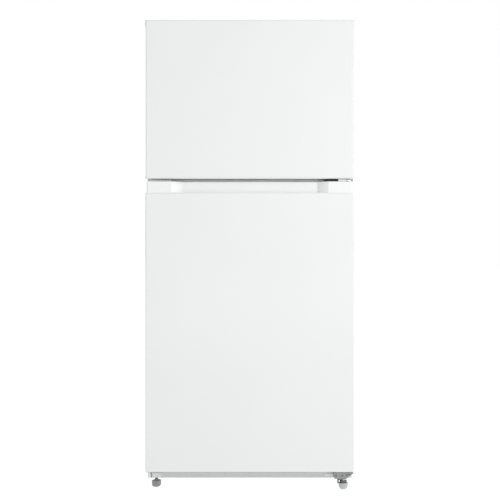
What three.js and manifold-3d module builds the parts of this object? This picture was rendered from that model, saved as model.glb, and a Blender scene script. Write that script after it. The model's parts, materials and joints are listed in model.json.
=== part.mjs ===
// A free-standing top freezer refrigerator: foamed cabinet, two doors hung on the right, pocket grips between
// them, shelves, crispers, door bins, cooling parts, machine compartment, levelling feet and rear rollers.
// Millimetres, +Z up, door faces towards -Y, origin on the floor under the middle of the whole object.
import * as THREE from "three";
import { mergeVertices } from "three/addons/utils/BufferGeometryUtils.js";
import Module from "manifold-3d";

const wasm = await Module();
wasm.setup();

// ---- driving dimensions ----
const WIDTH = 750; // cabinet and door skins
const DEPTH = 780; // door face to the back of the machine cover
const DOOR_TOP = 1705;
const FREEZER_DOOR_BOTTOM = 1133.5;
const FRIDGE_DOOR_TOP = 1123;
const DOOR_BOTTOM = 76;
const DOOR_THICKNESS = 62;
const GASKET_SPACE = 11; // between a door's back and the cabinet's front
const CABINET_TOP = 1690;
const CABINET_BASE = 39;
const SHEET = 1.2; // steel sheet
const WALL = 2; // vacuum formed plastic
const BIN_WALL = 2.5;
const GAP = 0.3; // between pieces that touch
const CAP_LIP = 2.5; // how far a door's end cap stands out past its skin
const EDGE_RADIUS = 5; // a door skin's bend at its front edges

// ---- places worked out from them ----
const HALF = WIDTH / 2;
const Y_FACE = -DEPTH / 2;
const Y_DOOR_BACK = Y_FACE + DOOR_THICKNESS;
const Y_CABINET = Y_DOOR_BACK + GASKET_SPACE;
const Y_REAR = DEPTH / 2;
const Y_BACK = Y_REAR - 8; // outer face of the back panel
const FLANGE = 17; // the wrapper's return at the cabinet's front
const Y_FOAM = Y_CABINET + WALL + 0.5;
const FLANGE_TIP = HALF - FLANGE - GAP;
const HINGE = { x: 355.5, y: Y_FACE + 33 };
const PIN_RADIUS = 4.5;
const PIN_BORE = 5;

// Insides of the two compartments: half width, floor, roof and back.
const FRIDGE = { x: 325, floor: 112, roof: 1088, back: 320 };
const FREEZER = { x: 318, floor: 1172, roof: 1642, back: 320 };
const HUMP = { y: 140, z: 300 }; // step in the fridge's floor over the machine compartment
const MACHINE = { y: 186, roof: 256, floor: 46.5 };
const MULLION = { low: FRIDGE.roof + 3, high: FREEZER.floor - 2.8 };

const LEDGE = { width: 6, height: 8, front: -150 };
const SHELF_LEVELS = { crisperCover: HUMP.z, lower: 560, upper: 800, freezer: 1400 };
const SPARE_LEVELS = { fridge: [430, 680, 920], freezer: [1300, 1500] };

const POCKET = { front: 283.5, back: 245.5, depth: 28, floor: 1083 };
const FRIDGE_CAP_BOTTOM = 1081;
const FOOT = { leftX: -345.5, rightX: 342.5, leftY: -285, rightY: -328, stud: 4, hole: 4.8 };
const ROLLER = { x: 330, y: 330, radius: 20, width: 16, pin: 3, bore: 3.4 };

// ---- materials ----
const finish = (color, roughness, metalness = 0, extra = {}) =>
  new THREE.MeshStandardMaterial({ color, roughness, metalness, ...extra });
const WHITE_STEEL = finish(0xf0f1f1, 0.35);
const WHITE_PLASTIC = finish(0xf2f3f3, 0.45);
const LINER_WHITE = finish(0xf4f5f6, 0.4);
const GASKET_GREY = finish(0xdcdedf, 0.7);
const FOAM_YELLOW = finish(0xe6d9a8, 0.9);
const ZINC = finish(0xb9bcbe, 0.4, 0.8);
const DARK_STEEL = finish(0x2b2c2e, 0.5, 0.4);
const DARK_PLASTIC = finish(0x55585a, 0.6);
const GREY_PLASTIC = finish(0x9a9c9d, 0.55);
const LIGHT_GREY_PLASTIC = finish(0xbfc2c3, 0.5);
const COPPER = finish(0xb87348, 0.35, 0.9);
const ALUMINIUM = finish(0xc6c8ca, 0.4, 0.9);
const GLASS = finish(0xdff0ea, 0.05, 0, { transparent: true, opacity: 0.35 });
const CLEAR_PLASTIC = finish(0xe6eef2, 0.15, 0, { transparent: true, opacity: 0.45 });

// ---- shapes ----
function solidOf(geometry) {
  const bare = geometry.clone();
  for (const name of Object.keys(bare.attributes)) if (name !== "position") bare.deleteAttribute(name);
  const merged = mergeVertices(bare, 1e-4);
  const triVerts = new Uint32Array(merged.index.array);
  const make = () =>
    new wasm.Manifold(new wasm.Mesh({ numProp: 3, vertProperties: merged.attributes.position.array, triVerts }));
  const made = make();
  if (made.volume() >= 0) return made;
  for (let i = 0; i < triVerts.length; i += 3)
    [triVerts[i + 1], triVerts[i + 2]] = [triVerts[i + 2], triVerts[i + 1]];
  return make();
}

function geometryOf(solid) {
  const mesh = solid.getMesh();
  const positions = new Float32Array(mesh.numVert * 3);
  for (let i = 0; i < mesh.numVert; i++)
    positions.set(mesh.vertProperties.subarray(i * mesh.numProp, i * mesh.numProp + 3), i * 3);
  const made = new THREE.BufferGeometry();
  made.setAttribute("position", new THREE.BufferAttribute(positions, 3));
  made.setIndex(new THREE.BufferAttribute(mesh.triVerts, 1));
  return made;
}

const join = (...shapes) => geometryOf(shapes.map(solidOf).reduce((a, b) => a.add(b)));
const cut = (shape, ...tools) => geometryOf(tools.map(solidOf).reduce((a, b) => a.subtract(b), solidOf(shape)));

// A box between two limits along each axis.
function slab([x0, x1], [y0, y1], [z0, z1]) {
  return new THREE.BoxGeometry(x1 - x0, y1 - y0, z1 - z0).translate((x0 + x1) / 2, (y0 + y1) / 2, (z0 + z1) / 2);
}

const outline = (points) => new THREE.Shape(points.map(([u, v]) => new THREE.Vector2(u, v)));

// An outline in the XY plane carried from z0 to z1.
function prismZ(shape, [z0, z1], curveSegments = 4) {
  const made = new THREE.ExtrudeGeometry(shape, { depth: z1 - z0, bevelEnabled: false, curveSegments });
  return made.translate(0, 0, z0);
}

// An outline in the YZ plane carried from x0 to x1.
function prismX(shape, [x0, x1], curveSegments = 4) {
  const made = new THREE.ExtrudeGeometry(shape, { depth: x1 - x0, bevelEnabled: false, curveSegments });
  const cyclic = new THREE.Matrix4().set(0, 0, 1, x0, 1, 0, 0, 0, 0, 1, 0, 0, 0, 0, 0, 1);
  return made.applyMatrix4(cyclic);
}

function rodZ(radius, [x, y], [z0, z1], sides = 12) {
  return new THREE.CylinderGeometry(radius, radius, z1 - z0, sides)
    .rotateX(Math.PI / 2)
    .translate(x, y, (z0 + z1) / 2);
}

function rodY(radius, [x, z], [y0, y1], sides = 16) {
  return new THREE.CylinderGeometry(radius, radius, y1 - y0, sides).translate(x, (y0 + y1) / 2, z);
}

function rodX(radius, [y, z], [x0, x1], sides = 16) {
  return new THREE.CylinderGeometry(radius, radius, x1 - x0, sides)
    .rotateZ(Math.PI / 2)
    .translate((x0 + x1) / 2, y, z);
}

// A profile of [radius, height] pairs turned about Z.
function turned(profile, sides = 16) {
  const points = profile.map(([r, z]) => new THREE.Vector2(r, z));
  return new THREE.LatheGeometry(points, sides).rotateX(Math.PI / 2);
}

const mirrorX = (shape) => geometryOf(solidOf(shape.clone().scale(-1, 1, 1)));
const bothSides = (shape) => [shape, mirrorX(shape)];

// A door's plan with bent front edges: half width and the limits in y.
function doorPlan(half, front, back, radius = EDGE_RADIUS) {
  const plan = new THREE.Shape();
  plan.moveTo(half, back);
  plan.lineTo(-half, back);
  plan.lineTo(-half, front + radius);
  plan.absarc(-half + radius, front + radius, radius, Math.PI, 1.5 * Math.PI, false);
  plan.lineTo(half - radius, front);
  plan.absarc(half - radius, front + radius, radius, 1.5 * Math.PI, 2 * Math.PI, false);
  plan.closePath();
  return plan;
}

const root = new THREE.Group();

function place(parent, name, geometry, material, [x, y, z] = [0, 0, 0]) {
  const mesh = new THREE.Mesh(geometry, material);
  mesh.name = name;
  mesh.position.set(x, y, z);
  parent.add(mesh);
  return mesh;
}

// ---- cabinet ----
function cabinetWrapper() {
  const back = Y_BACK - SHEET - GAP;
  return cut(
    slab([-HALF, HALF], [Y_CABINET, back], [CABINET_BASE, CABINET_TOP]),
    slab([-HALF + SHEET, HALF - SHEET], [Y_CABINET + SHEET, back + 1], [CABINET_BASE - 1, CABINET_TOP - SHEET]),
    slab([-HALF + FLANGE, HALF - FLANGE], [Y_CABINET - 1, Y_FOAM], [CABINET_BASE - 1, CABINET_TOP - 40]),
  );
}

// Side view of the fridge's inside, grown outwards by t, and open past the cabinet's front.
function fridgeProfile(t, front = Y_CABINET - 5) {
  return outline([
    [front, FRIDGE.floor - t],
    [HUMP.y + t, FRIDGE.floor - t],
    [HUMP.y + t, HUMP.z - t],
    [FRIDGE.back + t, HUMP.z - t],
    [FRIDGE.back + t, FRIDGE.roof + t],
    [front, FRIDGE.roof + t],
  ]);
}

function cabinetFoam() {
  const side = HALF - SHEET - GAP;
  const t = WALL + GAP;
  return cut(
    slab([-side, side], [Y_FOAM, Y_BACK - SHEET - 2 * GAP], [62, CABINET_TOP - SHEET - GAP]),
    prismX(fridgeProfile(t), [-FRIDGE.x - t, FRIDGE.x + t]),
    slab([-FREEZER.x - t, FREEZER.x + t], [Y_CABINET - 5, FREEZER.back + t], [FREEZER.floor - t, FREEZER.roof + t]),
    slab([-HALF, HALF], [MACHINE.y, Y_REAR], [0, MACHINE.roof]),
    slab([-HALF, HALF], [Y_CABINET - 5, -298.5], [0, FRIDGE.floor - WALL]),
  );
}

// Ledges on both side walls that carry shelves, joined to a liner.
function ledges(wall, levels, back) {
  return levels.flatMap((level) =>
    bothSides(slab([wall - LEDGE.width, wall + WALL / 2], [LEDGE.front, back], [level - LEDGE.height, level])),
  );
}

function fridgeLiner() {
  const shell = cut(
    join(
      prismX(fridgeProfile(WALL, Y_CABINET), [-FRIDGE.x - WALL, FRIDGE.x + WALL]),
      slab([-FLANGE_TIP, FLANGE_TIP], [Y_CABINET, Y_CABINET + WALL], [FRIDGE.floor - WALL, FRIDGE.roof + WALL]),
    ),
    prismX(fridgeProfile(0), [-FRIDGE.x, FRIDGE.x]),
  );
  const { crisperCover, lower, upper } = SHELF_LEVELS;
  return join(
    shell,
    ...ledges(FRIDGE.x, [lower, upper, ...SPARE_LEVELS.fridge], 298),
    ...ledges(FRIDGE.x, [crisperCover], HUMP.y + 1),
  );
}

function freezerLiner() {
  const { x, floor, roof, back } = FREEZER;
  const shell = cut(
    join(
      slab([-x - WALL, x + WALL], [Y_CABINET, back + WALL], [floor - WALL, roof + WALL]),
      slab([-FLANGE_TIP, FLANGE_TIP], [Y_CABINET, Y_CABINET + WALL], [floor - WALL, CABINET_TOP - 40 - GAP]),
    ),
    slab([-x, x], [Y_CABINET - 5, back], [floor, roof]),
  );
  return join(shell, ...ledges(x, [SHELF_LEVELS.freezer, ...SPARE_LEVELS.freezer], EVAPORATOR_COVER.front - 2));
}

function baseRail() {
  const top = FRIDGE.floor - WALL - 0.6;
  const span = [-FLANGE_TIP, FLANGE_TIP];
  return cut(
    join(
      slab(span, [Y_CABINET, Y_CABINET + 1.5], [CABINET_BASE, top]),
      slab(span, [Y_CABINET + 1, -299], [top - 1.5, top]),
      slab(span, [Y_CABINET, -258], [CABINET_BASE, CABINET_BASE + 2]),
      slab([-FLANGE_TIP, -316], [Y_CABINET - 2, Y_CABINET + 1], [42, 74]),
    ),
    rodZ(FOOT.hole, [FOOT.leftX, FOOT.leftY], [CABINET_BASE - 5, CABINET_BASE + 5]),
  );
}

// A bent sheet under the foam and the machine compartment, side channels, and the rollers' ears and pins.
function basePan() {
  const edge = 357;
  const back = Y_BACK - SHEET - 2 * GAP;
  const sheet = outline([
    [-257.5, 60.4],
    [MACHINE.y - 1, 60.4],
    [MACHINE.y - 1, 45],
    [back, 45],
    [back, 46.2],
    [MACHINE.y + SHEET - 1, 46.2],
    [MACHINE.y + SHEET - 1, 61.6],
    [-257.5, 61.6],
  ]);
  const ear = (x) => slab([x, x + 2], [ROLLER.y - 12, ROLLER.y + 12], [ROLLER.radius - 8, 45.5]);
  const channel = [
    slab([345, edge], [-257.5, back], [40, 45.5]),
    slab([edge - 1.5, edge], [-257.5, MACHINE.y], [44, 61]),
    ear(ROLLER.x - 12),
    ear(ROLLER.x + 10),
    rodX(ROLLER.pin, [ROLLER.y, ROLLER.radius], [ROLLER.x - 12, ROLLER.x + 12], 12),
  ];
  return join(prismX(sheet, [-edge, edge]), ...channel.flatMap(bothSides));
}

function machineCover() {
  const front = Y_BACK - SHEET;
  const bulge = { x: 300, low: 72, high: 240 };
  const louvres = [-1, 1].flatMap((side) =>
    Array.from({ length: 8 }, (_, i) => {
      const z = bulge.low + 14 + i * 18.5;
      return slab([side * 150 - 110, side * 150 + 110], [front - 5, Y_REAR + 5], [z, z + 8]);
    }),
  );
  return cut(
    join(
      slab([-HALF, HALF], [front, Y_BACK], [46, MACHINE.roof + 4]),
      slab([-bulge.x, bulge.x], [front, Y_REAR], [bulge.low, bulge.high]),
    ),
    slab([-bulge.x + 1.5, bulge.x - 1.5], [front - 1, Y_REAR - 1.5], [bulge.low + 1.5, bulge.high - 1.5]),
    ...louvres,
  );
}

function buildCabinet(group) {
  place(group, "cabinet_wrapper", cabinetWrapper(), WHITE_STEEL);
  place(group, "cabinet_foam", cabinetFoam(), FOAM_YELLOW);
  place(group, "fridge_liner", fridgeLiner(), LINER_WHITE);
  place(group, "freezer_liner", freezerLiner(), LINER_WHITE);
  const rail = [Y_CABINET, Y_CABINET + SHEET];
  place(group, "mullion_rail", slab([-FLANGE_TIP, FLANGE_TIP], rail, [MULLION.low, MULLION.high]), WHITE_STEEL);
  place(group, "base_rail", baseRail(), ZINC);
  place(group, "base_pan", basePan(), ZINC);
  const backSpan = [MACHINE.roof + 5, CABINET_TOP];
  place(group, "back_panel", slab([-HALF, HALF], [Y_BACK - SHEET, Y_BACK], backSpan), ZINC);
  place(group, "machine_cover", machineCover(), ZINC);
}

// ---- machine compartment ----
const COMPRESSOR = { x: -150, y: 283, radius: 72, base: 60, top: 205 };
const COOLING_FAN = { y: 283, z: 125, opening: 62, blade: 56 };

// A welded shell on a foot plate with four grommets.
function compressor() {
  const { radius: r, base, top } = COMPRESSOR;
  const shell = turned([
    [0, base],
    [r - 22, base],
    [r - 4, base + 14],
    [r, base + 34],
    [r, base + 74],
    [r + 3, base + 75],
    [r + 3, base + 82],
    [r, base + 83],
    [r - 4, top - 30],
    [r - 26, top - 6],
    [0, top],
  ], 20);
  const plate = slab([-95, 95], [-60, 60], [base - 2, base + 1.5]);
  const grommets = [-80, 80].flatMap((x) => [-46, 46].map((y) => rodZ(11, [x, y], [MACHINE.floor, base], 10)));
  return join(shell, plate, ...grommets);
}

function drainPan() {
  const floor = COMPRESSOR.top + 1;
  return cut(
    slab([-250, -50], [205, 362], [floor, floor + 32]),
    slab([-248, -52], [207, 360], [floor + 2, floor + 40]),
  );
}

// A tube folded back and forth across the compartment: straight runs joined by half circles.
function condenserCoil() {
  const tube = 3;
  const pitch = 24;
  const runs = 7;
  const [left, right] = [75, 320];
  const y = 283;
  const low = 66;
  const pieces = [];
  for (let i = 0; i < runs; i++) {
    const z = low + i * pitch;
    pieces.push(rodX(tube, [y, z], [left - 0.5, right + 0.5], 8));
    if (i === runs - 1) break;
    const side = i % 2 ? -1 : 1;
    const bend = new THREE.CurvePath();
    const corner = (a) => {
      const angle = -Math.PI / 2 + a * Math.PI;
      const x = (side > 0 ? right : left) + side * (pitch / 2) * Math.cos(angle);
      return new THREE.Vector3(x, y, z + pitch / 2 + (pitch / 2) * Math.sin(angle));
    };
    const steps = 6;
    for (let k = 0; k < steps; k++) bend.add(new THREE.LineCurve3(corner(k / steps), corner((k + 1) / steps)));
    const section = new THREE.Shape().absarc(0, 0, tube, 0, 2 * Math.PI, false);
    pieces.push(new THREE.ExtrudeGeometry(section, { steps, extrudePath: bend, curveSegments: 4 }));
  }
  const straps = [130, 260].map((x) => slab([x, x + 3], [y - 5, y + 5], [MACHINE.floor, 214]));
  return join(...pieces, ...straps);
}

// A plate with a round opening, and a motor held behind it on two arms.
function coolingFanBracket() {
  const { y, z, opening } = COOLING_FAN;
  return join(
    cut(slab([0, 2.5], [190, 376], [MACHINE.floor, 200]), rodX(opening, [y, z], [-5, 8], 24)),
    slab([1, 12], [y - 6, y + 6], [z - opening - 6, z + opening + 6]),
    rodX(24, [y, z], [1, 36], 16),
  );
}

// A hub and blades about the X axis; the blades are flat plates set at an angle.
function fanWheel({ hub, tip, blades, length, bore }) {
  const made = [];
  for (let i = 0; i < blades; i++) {
    const blade = new THREE.BoxGeometry(1.6, length * 1.25, tip - hub + 3)
      .rotateZ(0.75)
      .translate(0, 0, (tip + hub - 3) / 2)
      .rotateX((i / blades) * 2 * Math.PI);
    made.push(blade);
  }
  const core = rodX(hub, [0, 0], [-length / 2, length / 2], 16);
  return cut(join(core, ...made), rodX(bore, [0, 0], [-length, length * 0.2], 8));
}

function buildMachine(group) {
  place(group, "compressor", compressor(), DARK_STEEL, [COMPRESSOR.x, COMPRESSOR.y, 0]);
  place(group, "drain_pan", drainPan(), LIGHT_GREY_PLASTIC);
  place(group, "condenser_coil", condenserCoil(), DARK_STEEL);
  place(group, "condenser_fan_bracket", coolingFanBracket(), DARK_PLASTIC);
  const wheel = fanWheel({ hub: 16, tip: COOLING_FAN.blade, blades: 5, length: 18, bore: 2.5 });
  place(group, "condenser_fan", wheel, DARK_PLASTIC, [-12, COOLING_FAN.y, COOLING_FAN.z]);
}

// ---- freezer inside ----
const EVAPORATOR_COVER = { front: 246, low: 1174, high: 1575, x: 316.5 };
const FREEZER_FAN = { x: 0, z: 1490, y: 272, opening: 52, blade: 46 };

function evaporator() {
  const block = slab([-250, 250], [264, 316], [1192, 1382]);
  const gaps = Array.from({ length: 19 }, (_, i) => {
    const x = -238 + i * 25;
    return slab([x, x + 21], [260, 300], [1180, 1400]);
  });
  return cut(block, ...gaps);
}

function evaporatorCover() {
  const { front, low, high, x } = EVAPORATOR_COVER;
  const outlets = Array.from({ length: 8 }, (_, i) => {
    const left = -294 + i * 22;
    return [left, -left - 14].map((at) => slab([at, at + 14], [front - 5, front + 8], [high - 70, high - 24]));
  }).flat();
  const intakes = [-200, 0, 200].map((at) =>
    slab([at - 70, at + 70], [front - 5, front + 8], [low + 10, low + 24]),
  );
  return cut(
    slab([-x, x], [front, FREEZER.back - 0.5], [low, high]),
    slab([-x + 3, x - 3], [front + 3, FREEZER.back + 1], [low + 3, high - 3]),
    rodY(FREEZER_FAN.opening, [FREEZER_FAN.x, FREEZER_FAN.z], [front - 5, front + 8], 20),
    rodY(4.5, [-230, 1470], [front - 5, front + 8], 10),
    ...outlets,
    ...intakes,
  );
}

function buildFreezerInside(group) {
  place(group, "evaporator", evaporator(), ALUMINIUM);
  place(group, "evaporator_cover", evaporatorCover(), LINER_WHITE);
  const { x, y, z } = FREEZER_FAN;
  const motor = join(rodY(24, [x, z], [290, FREEZER.back - 1], 16), rodY(2, [x, z], [270, 292], 8));
  place(group, "evaporator_fan_motor", motor, DARK_PLASTIC);
  const wheel = fanWheel({ hub: 14, tip: FREEZER_FAN.blade, blades: 5, length: 16, bore: 2.5 }).rotateZ(-Math.PI / 2);
  place(group, "evaporator_fan", wheel, GREY_PLASTIC, [x, y, z]);
  const knob = join(rodY(20, [0, 0], [-12, -1], 20), rodY(3.8, [0, 0], [-2, 8], 8));
  place(group, "freezer_temperature_knob", knob, LIGHT_GREY_PLASTIC, [-230, EVAPORATOR_COVER.front, 1470]);
  buildShelf(group, "freezer_shelf", SHELF_LEVELS.freezer, FREEZER.x - 2.5, 238);
}

// ---- shelves ----
const SHELF_FRONT = -184;
const GLASS_THICKNESS = 4;

// A glass pane on the liner's ledges with a plastic trim gripping its front edge.
function buildShelf(group, name, level, half, back) {
  const low = level + GAP;
  const glassFront = SHELF_FRONT + 12;
  place(group, name + "_glass", slab([-half, half], [glassFront, back], [low, low + GLASS_THICKNESS]), GLASS);
  const trim = cut(
    slab([-half, half], [SHELF_FRONT, SHELF_FRONT + 26], [level - 10, level + 12]),
    slab([-half - 1, half + 1], [glassFront - GAP, SHELF_FRONT + 30], [level, low + GLASS_THICKNESS + GAP]),
  );
  place(group, name + "_trim", trim, LIGHT_GREY_PLASTIC);
}

// ---- fridge inside ----
const CRISPER_COVER = { half: 322.5, front: -190, back: 300, low: SHELF_LEVELS.crisperCover + GAP, high: 322 };
const CRISPER = { inner: 7, outer: 316, front: -188, back: 128, low: 113, high: 292 };

function crisperCoverFrame() {
  const { half, front, back, low, high } = CRISPER_COVER;
  return join(
    cut(
      slab([-half, half], [front, back], [low, high]),
      slab([-half + 24, half - 24], [front + 26, back - 20], [low - 1, high + 1]),
      slab([-half + 16, half - 16], [front + 18, back - 12], [high - 5, high + 1]),
    ),
    slab([-12, 12], [front + 20, back - 15], [low, high - 5.5]),
    slab([-4, 4], [front + 4, 132], [low - 14, low + 1]),
  );
}

function crisper() {
  const { inner, outer, front, back, low, high } = CRISPER;
  const w = BIN_WALL;
  return join(
    cut(
      slab([inner, outer], [front, back], [low, high]),
      slab([inner + w, outer - w], [front + w + 1, back - w], [low + w, high + 1]),
    ),
    slab([inner + 60, outer - 60], [front - 0.5, front + 12], [high - 7, high]),
  );
}

function airDuct() {
  const vents = [420, 620, 860, 960].flatMap((z) =>
    bothSides(slab([20, 75], [300, 308], [z, z + 12])),
  );
  return cut(slab([-95, 95], [303, FRIDGE.back - 0.5], [330, 1020]), ...vents);
}

// The housing under the fridge's roof: the controls in front, the lamp's recess behind them.
function controlHousing() {
  const side = outline([
    [-190, 1038],
    [-176, 1030],
    [-40, 1030],
    [-18, 1052],
    [-18, FRIDGE.roof - GAP],
    [-190, FRIDGE.roof - GAP],
  ]);
  return cut(
    prismX(side, [-140, 140]),
    slab([-110, 20], [-150, -60], [1020, 1036]),
    rodY(4.5, [80, 1062], [-200, -180], 10),
  );
}

function buildFridgeInside(group) {
  place(group, "crisper_cover_frame", crisperCoverFrame(), LIGHT_GREY_PLASTIC);
  const { half, front, back, high } = CRISPER_COVER;
  const inset = 16.5;
  const pane = slab([-half + inset, half - inset], [front + 18.5, back - 12.5], [high - 4.6, high - 0.6]);
  place(group, "crisper_cover_glass", pane, GLASS);
  place(group, "crisper_right", crisper(), CLEAR_PLASTIC);
  place(group, "crisper_left", mirrorX(crisper()), CLEAR_PLASTIC);
  const slider = join(
    slab([-14, 14], [-5, -GAP], [-5, 5]),
    slab([-2, 2], [-8, -4], [-4, 4]),
  );
  for (const [name, x] of [["humidity_slider_left", -160], ["humidity_slider_right", 160]])
    place(group, name, slider, GREY_PLASTIC, [x, front, 313]);
  buildShelf(group, "lower_shelf", SHELF_LEVELS.lower, FRIDGE.x - 2.5, 298);
  buildShelf(group, "upper_shelf", SHELF_LEVELS.upper, FRIDGE.x - 2.5, 298);
  place(group, "air_duct", airDuct(), LINER_WHITE);
  place(group, "control_housing", controlHousing(), LINER_WHITE);
  const knob = join(rodY(22, [0, 0], [-13, -1], 20), rodY(3.8, [0, 0], [-2, 8], 8));
  place(group, "fridge_temperature_knob", knob, LIGHT_GREY_PLASTIC, [80, -190, 1062]);
}

// ---- doors ----
const PLUG = { x: HALF - SHEET - GAP, front: Y_FACE + SHEET + GAP, back: Y_DOOR_BACK - WALL - GAP };
const hingeBore = (span) => rodZ(PIN_BORE, [HINGE.x, HINGE.y], span, 16);
const plugBlock = (span) => prismZ(doorPlan(PLUG.x, PLUG.front, PLUG.back, EDGE_RADIUS - 1), span);

function doorSkin([low, high]) {
  return cut(
    prismZ(doorPlan(HALF, Y_FACE, PLUG.back), [low, high]),
    prismZ(doorPlan(HALF - SHEET, Y_FACE + SHEET, PLUG.back + 1, EDGE_RADIUS - SHEET), [low - 1, high + 1]),
  );
}

// Two upright ridges on a door's inner face that carry the bins between them, shrunk by t on every side.
function ridges({ outer, inner, depth, low, high }, t, from) {
  return bothSides(slab([inner + t, outer - t], [from, Y_DOOR_BACK + depth - t], [low + t, high - t]));
}

function doorLiner(ridge, [low, high], lugs) {
  const plate = slab([-HALF + 0.5, HALF - 0.5], [Y_DOOR_BACK - WALL, Y_DOOR_BACK], [low, high]);
  const shell = cut(
    join(plate, ...ridges(ridge, 0, Y_DOOR_BACK - 1)),
    ...ridges(ridge, WALL, Y_DOOR_BACK - WALL - 1),
  );
  const held = lugs.flatMap((z) =>
    bothSides(slab([ridge.inner - 5, ridge.inner + 1], [Y_DOOR_BACK + 8, Y_DOOR_BACK + 40], [z - 9, z - GAP])),
  );
  return join(shell, ...held);
}

function doorFoam(ridge, span) {
  return join(plugBlock(span), ...ridges(ridge, WALL + GAP, PLUG.back - 1));
}

const GASKET = { inner: 329, outer: 349 };
function doorGasket(low, high) {
  const width = GASKET.outer - GASKET.inner;
  const y = [Y_DOOR_BACK + GAP, Y_CABINET - GAP];
  return cut(
    slab([-GASKET.outer, GASKET.outer], y, [low, high]),
    slab([-GASKET.inner, GASKET.inner], [y[0] - 1, y[1] + 1], [low + width, high - width]),
  );
}

function freezerTopCap() {
  const lip = HALF + CAP_LIP;
  const flange = slab([HALF + GAP, lip], [Y_FACE + 7, PLUG.back], [DOOR_TOP - 22, DOOR_TOP - 1]);
  return cut(
    join(
      plugBlock([DOOR_TOP - 24, DOOR_TOP - 2]),
      prismZ(doorPlan(lip, Y_FACE, PLUG.back, EDGE_RADIUS + CAP_LIP), [DOOR_TOP - 2.7, DOOR_TOP]),
      ...bothSides(flange),
    ),
    hingeBore([DOOR_TOP - 16, DOOR_TOP + 1]),
  );
}

// The freezer door is pulled by a trough in its underside.
function freezerBottomCap() {
  const bottom = FREEZER_DOOR_BOTTOM;
  return cut(
    join(
      plugBlock([bottom + 2, bottom + 26]),
      prismZ(doorPlan(HALF + 2, Y_FACE, PLUG.back, EDGE_RADIUS + 2), [bottom, bottom + 3.7]),
    ),
    slab([-POCKET.front, POCKET.front], [Y_FACE + 8, Y_FACE + 38], [bottom - 1, bottom + 19]),
    hingeBore([bottom - 1, bottom + 17]),
  );
}

// The fridge door's top cap holds the hand recess, with a trough behind the skin's top edge.
function fridgeTopCap() {
  const { front, back, depth, floor } = POCKET;
  const recess = outline([
    [-front, Y_FACE],
    [-front - 2, Y_FACE - 2],
    [front + 2, Y_FACE - 2],
    [front, Y_FACE],
    [back, Y_FACE + depth],
    [-back, Y_FACE + depth],
  ]);
  return cut(
    join(
      plugBlock([FRIDGE_CAP_BOTTOM - 24, FRIDGE_CAP_BOTTOM + 1]),
      prismZ(doorPlan(HALF - 3.5, Y_FACE, PLUG.back), [FRIDGE_CAP_BOTTOM + GAP, FRIDGE_DOOR_TOP]),
    ),
    prismZ(recess, [floor, FRIDGE_DOOR_TOP + 1]),
    slab([-back, back], [Y_FACE + 7, Y_FACE + depth - 4], [floor - 19, floor + 1]),
    hingeBore([FRIDGE_DOOR_TOP - 17, FRIDGE_DOOR_TOP + 1]),
  );
}

function fridgeBottomCap() {
  return cut(
    join(
      plugBlock([DOOR_BOTTOM + 2, DOOR_BOTTOM + 24]),
      prismZ(doorPlan(HALF - 1.5, Y_FACE + 1, PLUG.back), [DOOR_BOTTOM, DOOR_BOTTOM + 2.7]),
    ),
    hingeBore([DOOR_BOTTOM - 1, DOOR_BOTTOM + 17]),
  );
}

// An open bin that hangs on a door's lugs: half width, depth and height.
const BIN_BACK = -222;
function doorBin(half, height) {
  const front = Y_DOOR_BACK + 0.5;
  const w = BIN_WALL;
  return cut(
    slab([-half, half], [front, BIN_BACK], [0, height]),
    slab([-half + w, half - w], [front + w, BIN_BACK - w], [w, height + 1]),
  );
}

const FREEZER_BINS = { half: 280, levels: { freezer_door_bin_lower: 1190, freezer_door_bin_upper: 1420 }, height: 92 };
const FRIDGE_BINS = {
  half: 287,
  levels: { fridge_door_bin_lower: [140, 125], fridge_door_bin_middle: [470, 100], dairy_bin: [872, 88] },
};
const DAIRY_LID = { y: Y_DOOR_BACK + 12, z: 966, reach: 92 };

function buildFreezerDoor(group) {
  const ridge = { outer: 308, inner: 283, depth: 70, low: 1180, high: 1634 };
  const span = [FREEZER_DOOR_BOTTOM + 4, DOOR_TOP - 3];
  place(group, "freezer_door_skin", doorSkin(span), WHITE_STEEL);
  place(group, "freezer_door_foam", doorFoam(ridge, [FREEZER_DOOR_BOTTOM + 27, DOOR_TOP - 25]), FOAM_YELLOW);
  const lugs = Object.values(FREEZER_BINS.levels);
  const plate = [FREEZER_DOOR_BOTTOM + 1, DOOR_TOP - 1];
  place(group, "freezer_door_liner", doorLiner(ridge, plate, lugs), LINER_WHITE);
  place(group, "freezer_door_top_cap", freezerTopCap(), WHITE_PLASTIC);
  place(group, "freezer_door_bottom_cap", freezerBottomCap(), WHITE_PLASTIC);
  place(group, "freezer_door_gasket", doorGasket(FREEZER.floor - 24, FREEZER.roof + 24), GASKET_GREY);
  for (const [name, z] of Object.entries(FREEZER_BINS.levels))
    place(group, name, doorBin(FREEZER_BINS.half, FREEZER_BINS.height), CLEAR_PLASTIC, [0, 0, z]);
}

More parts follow.
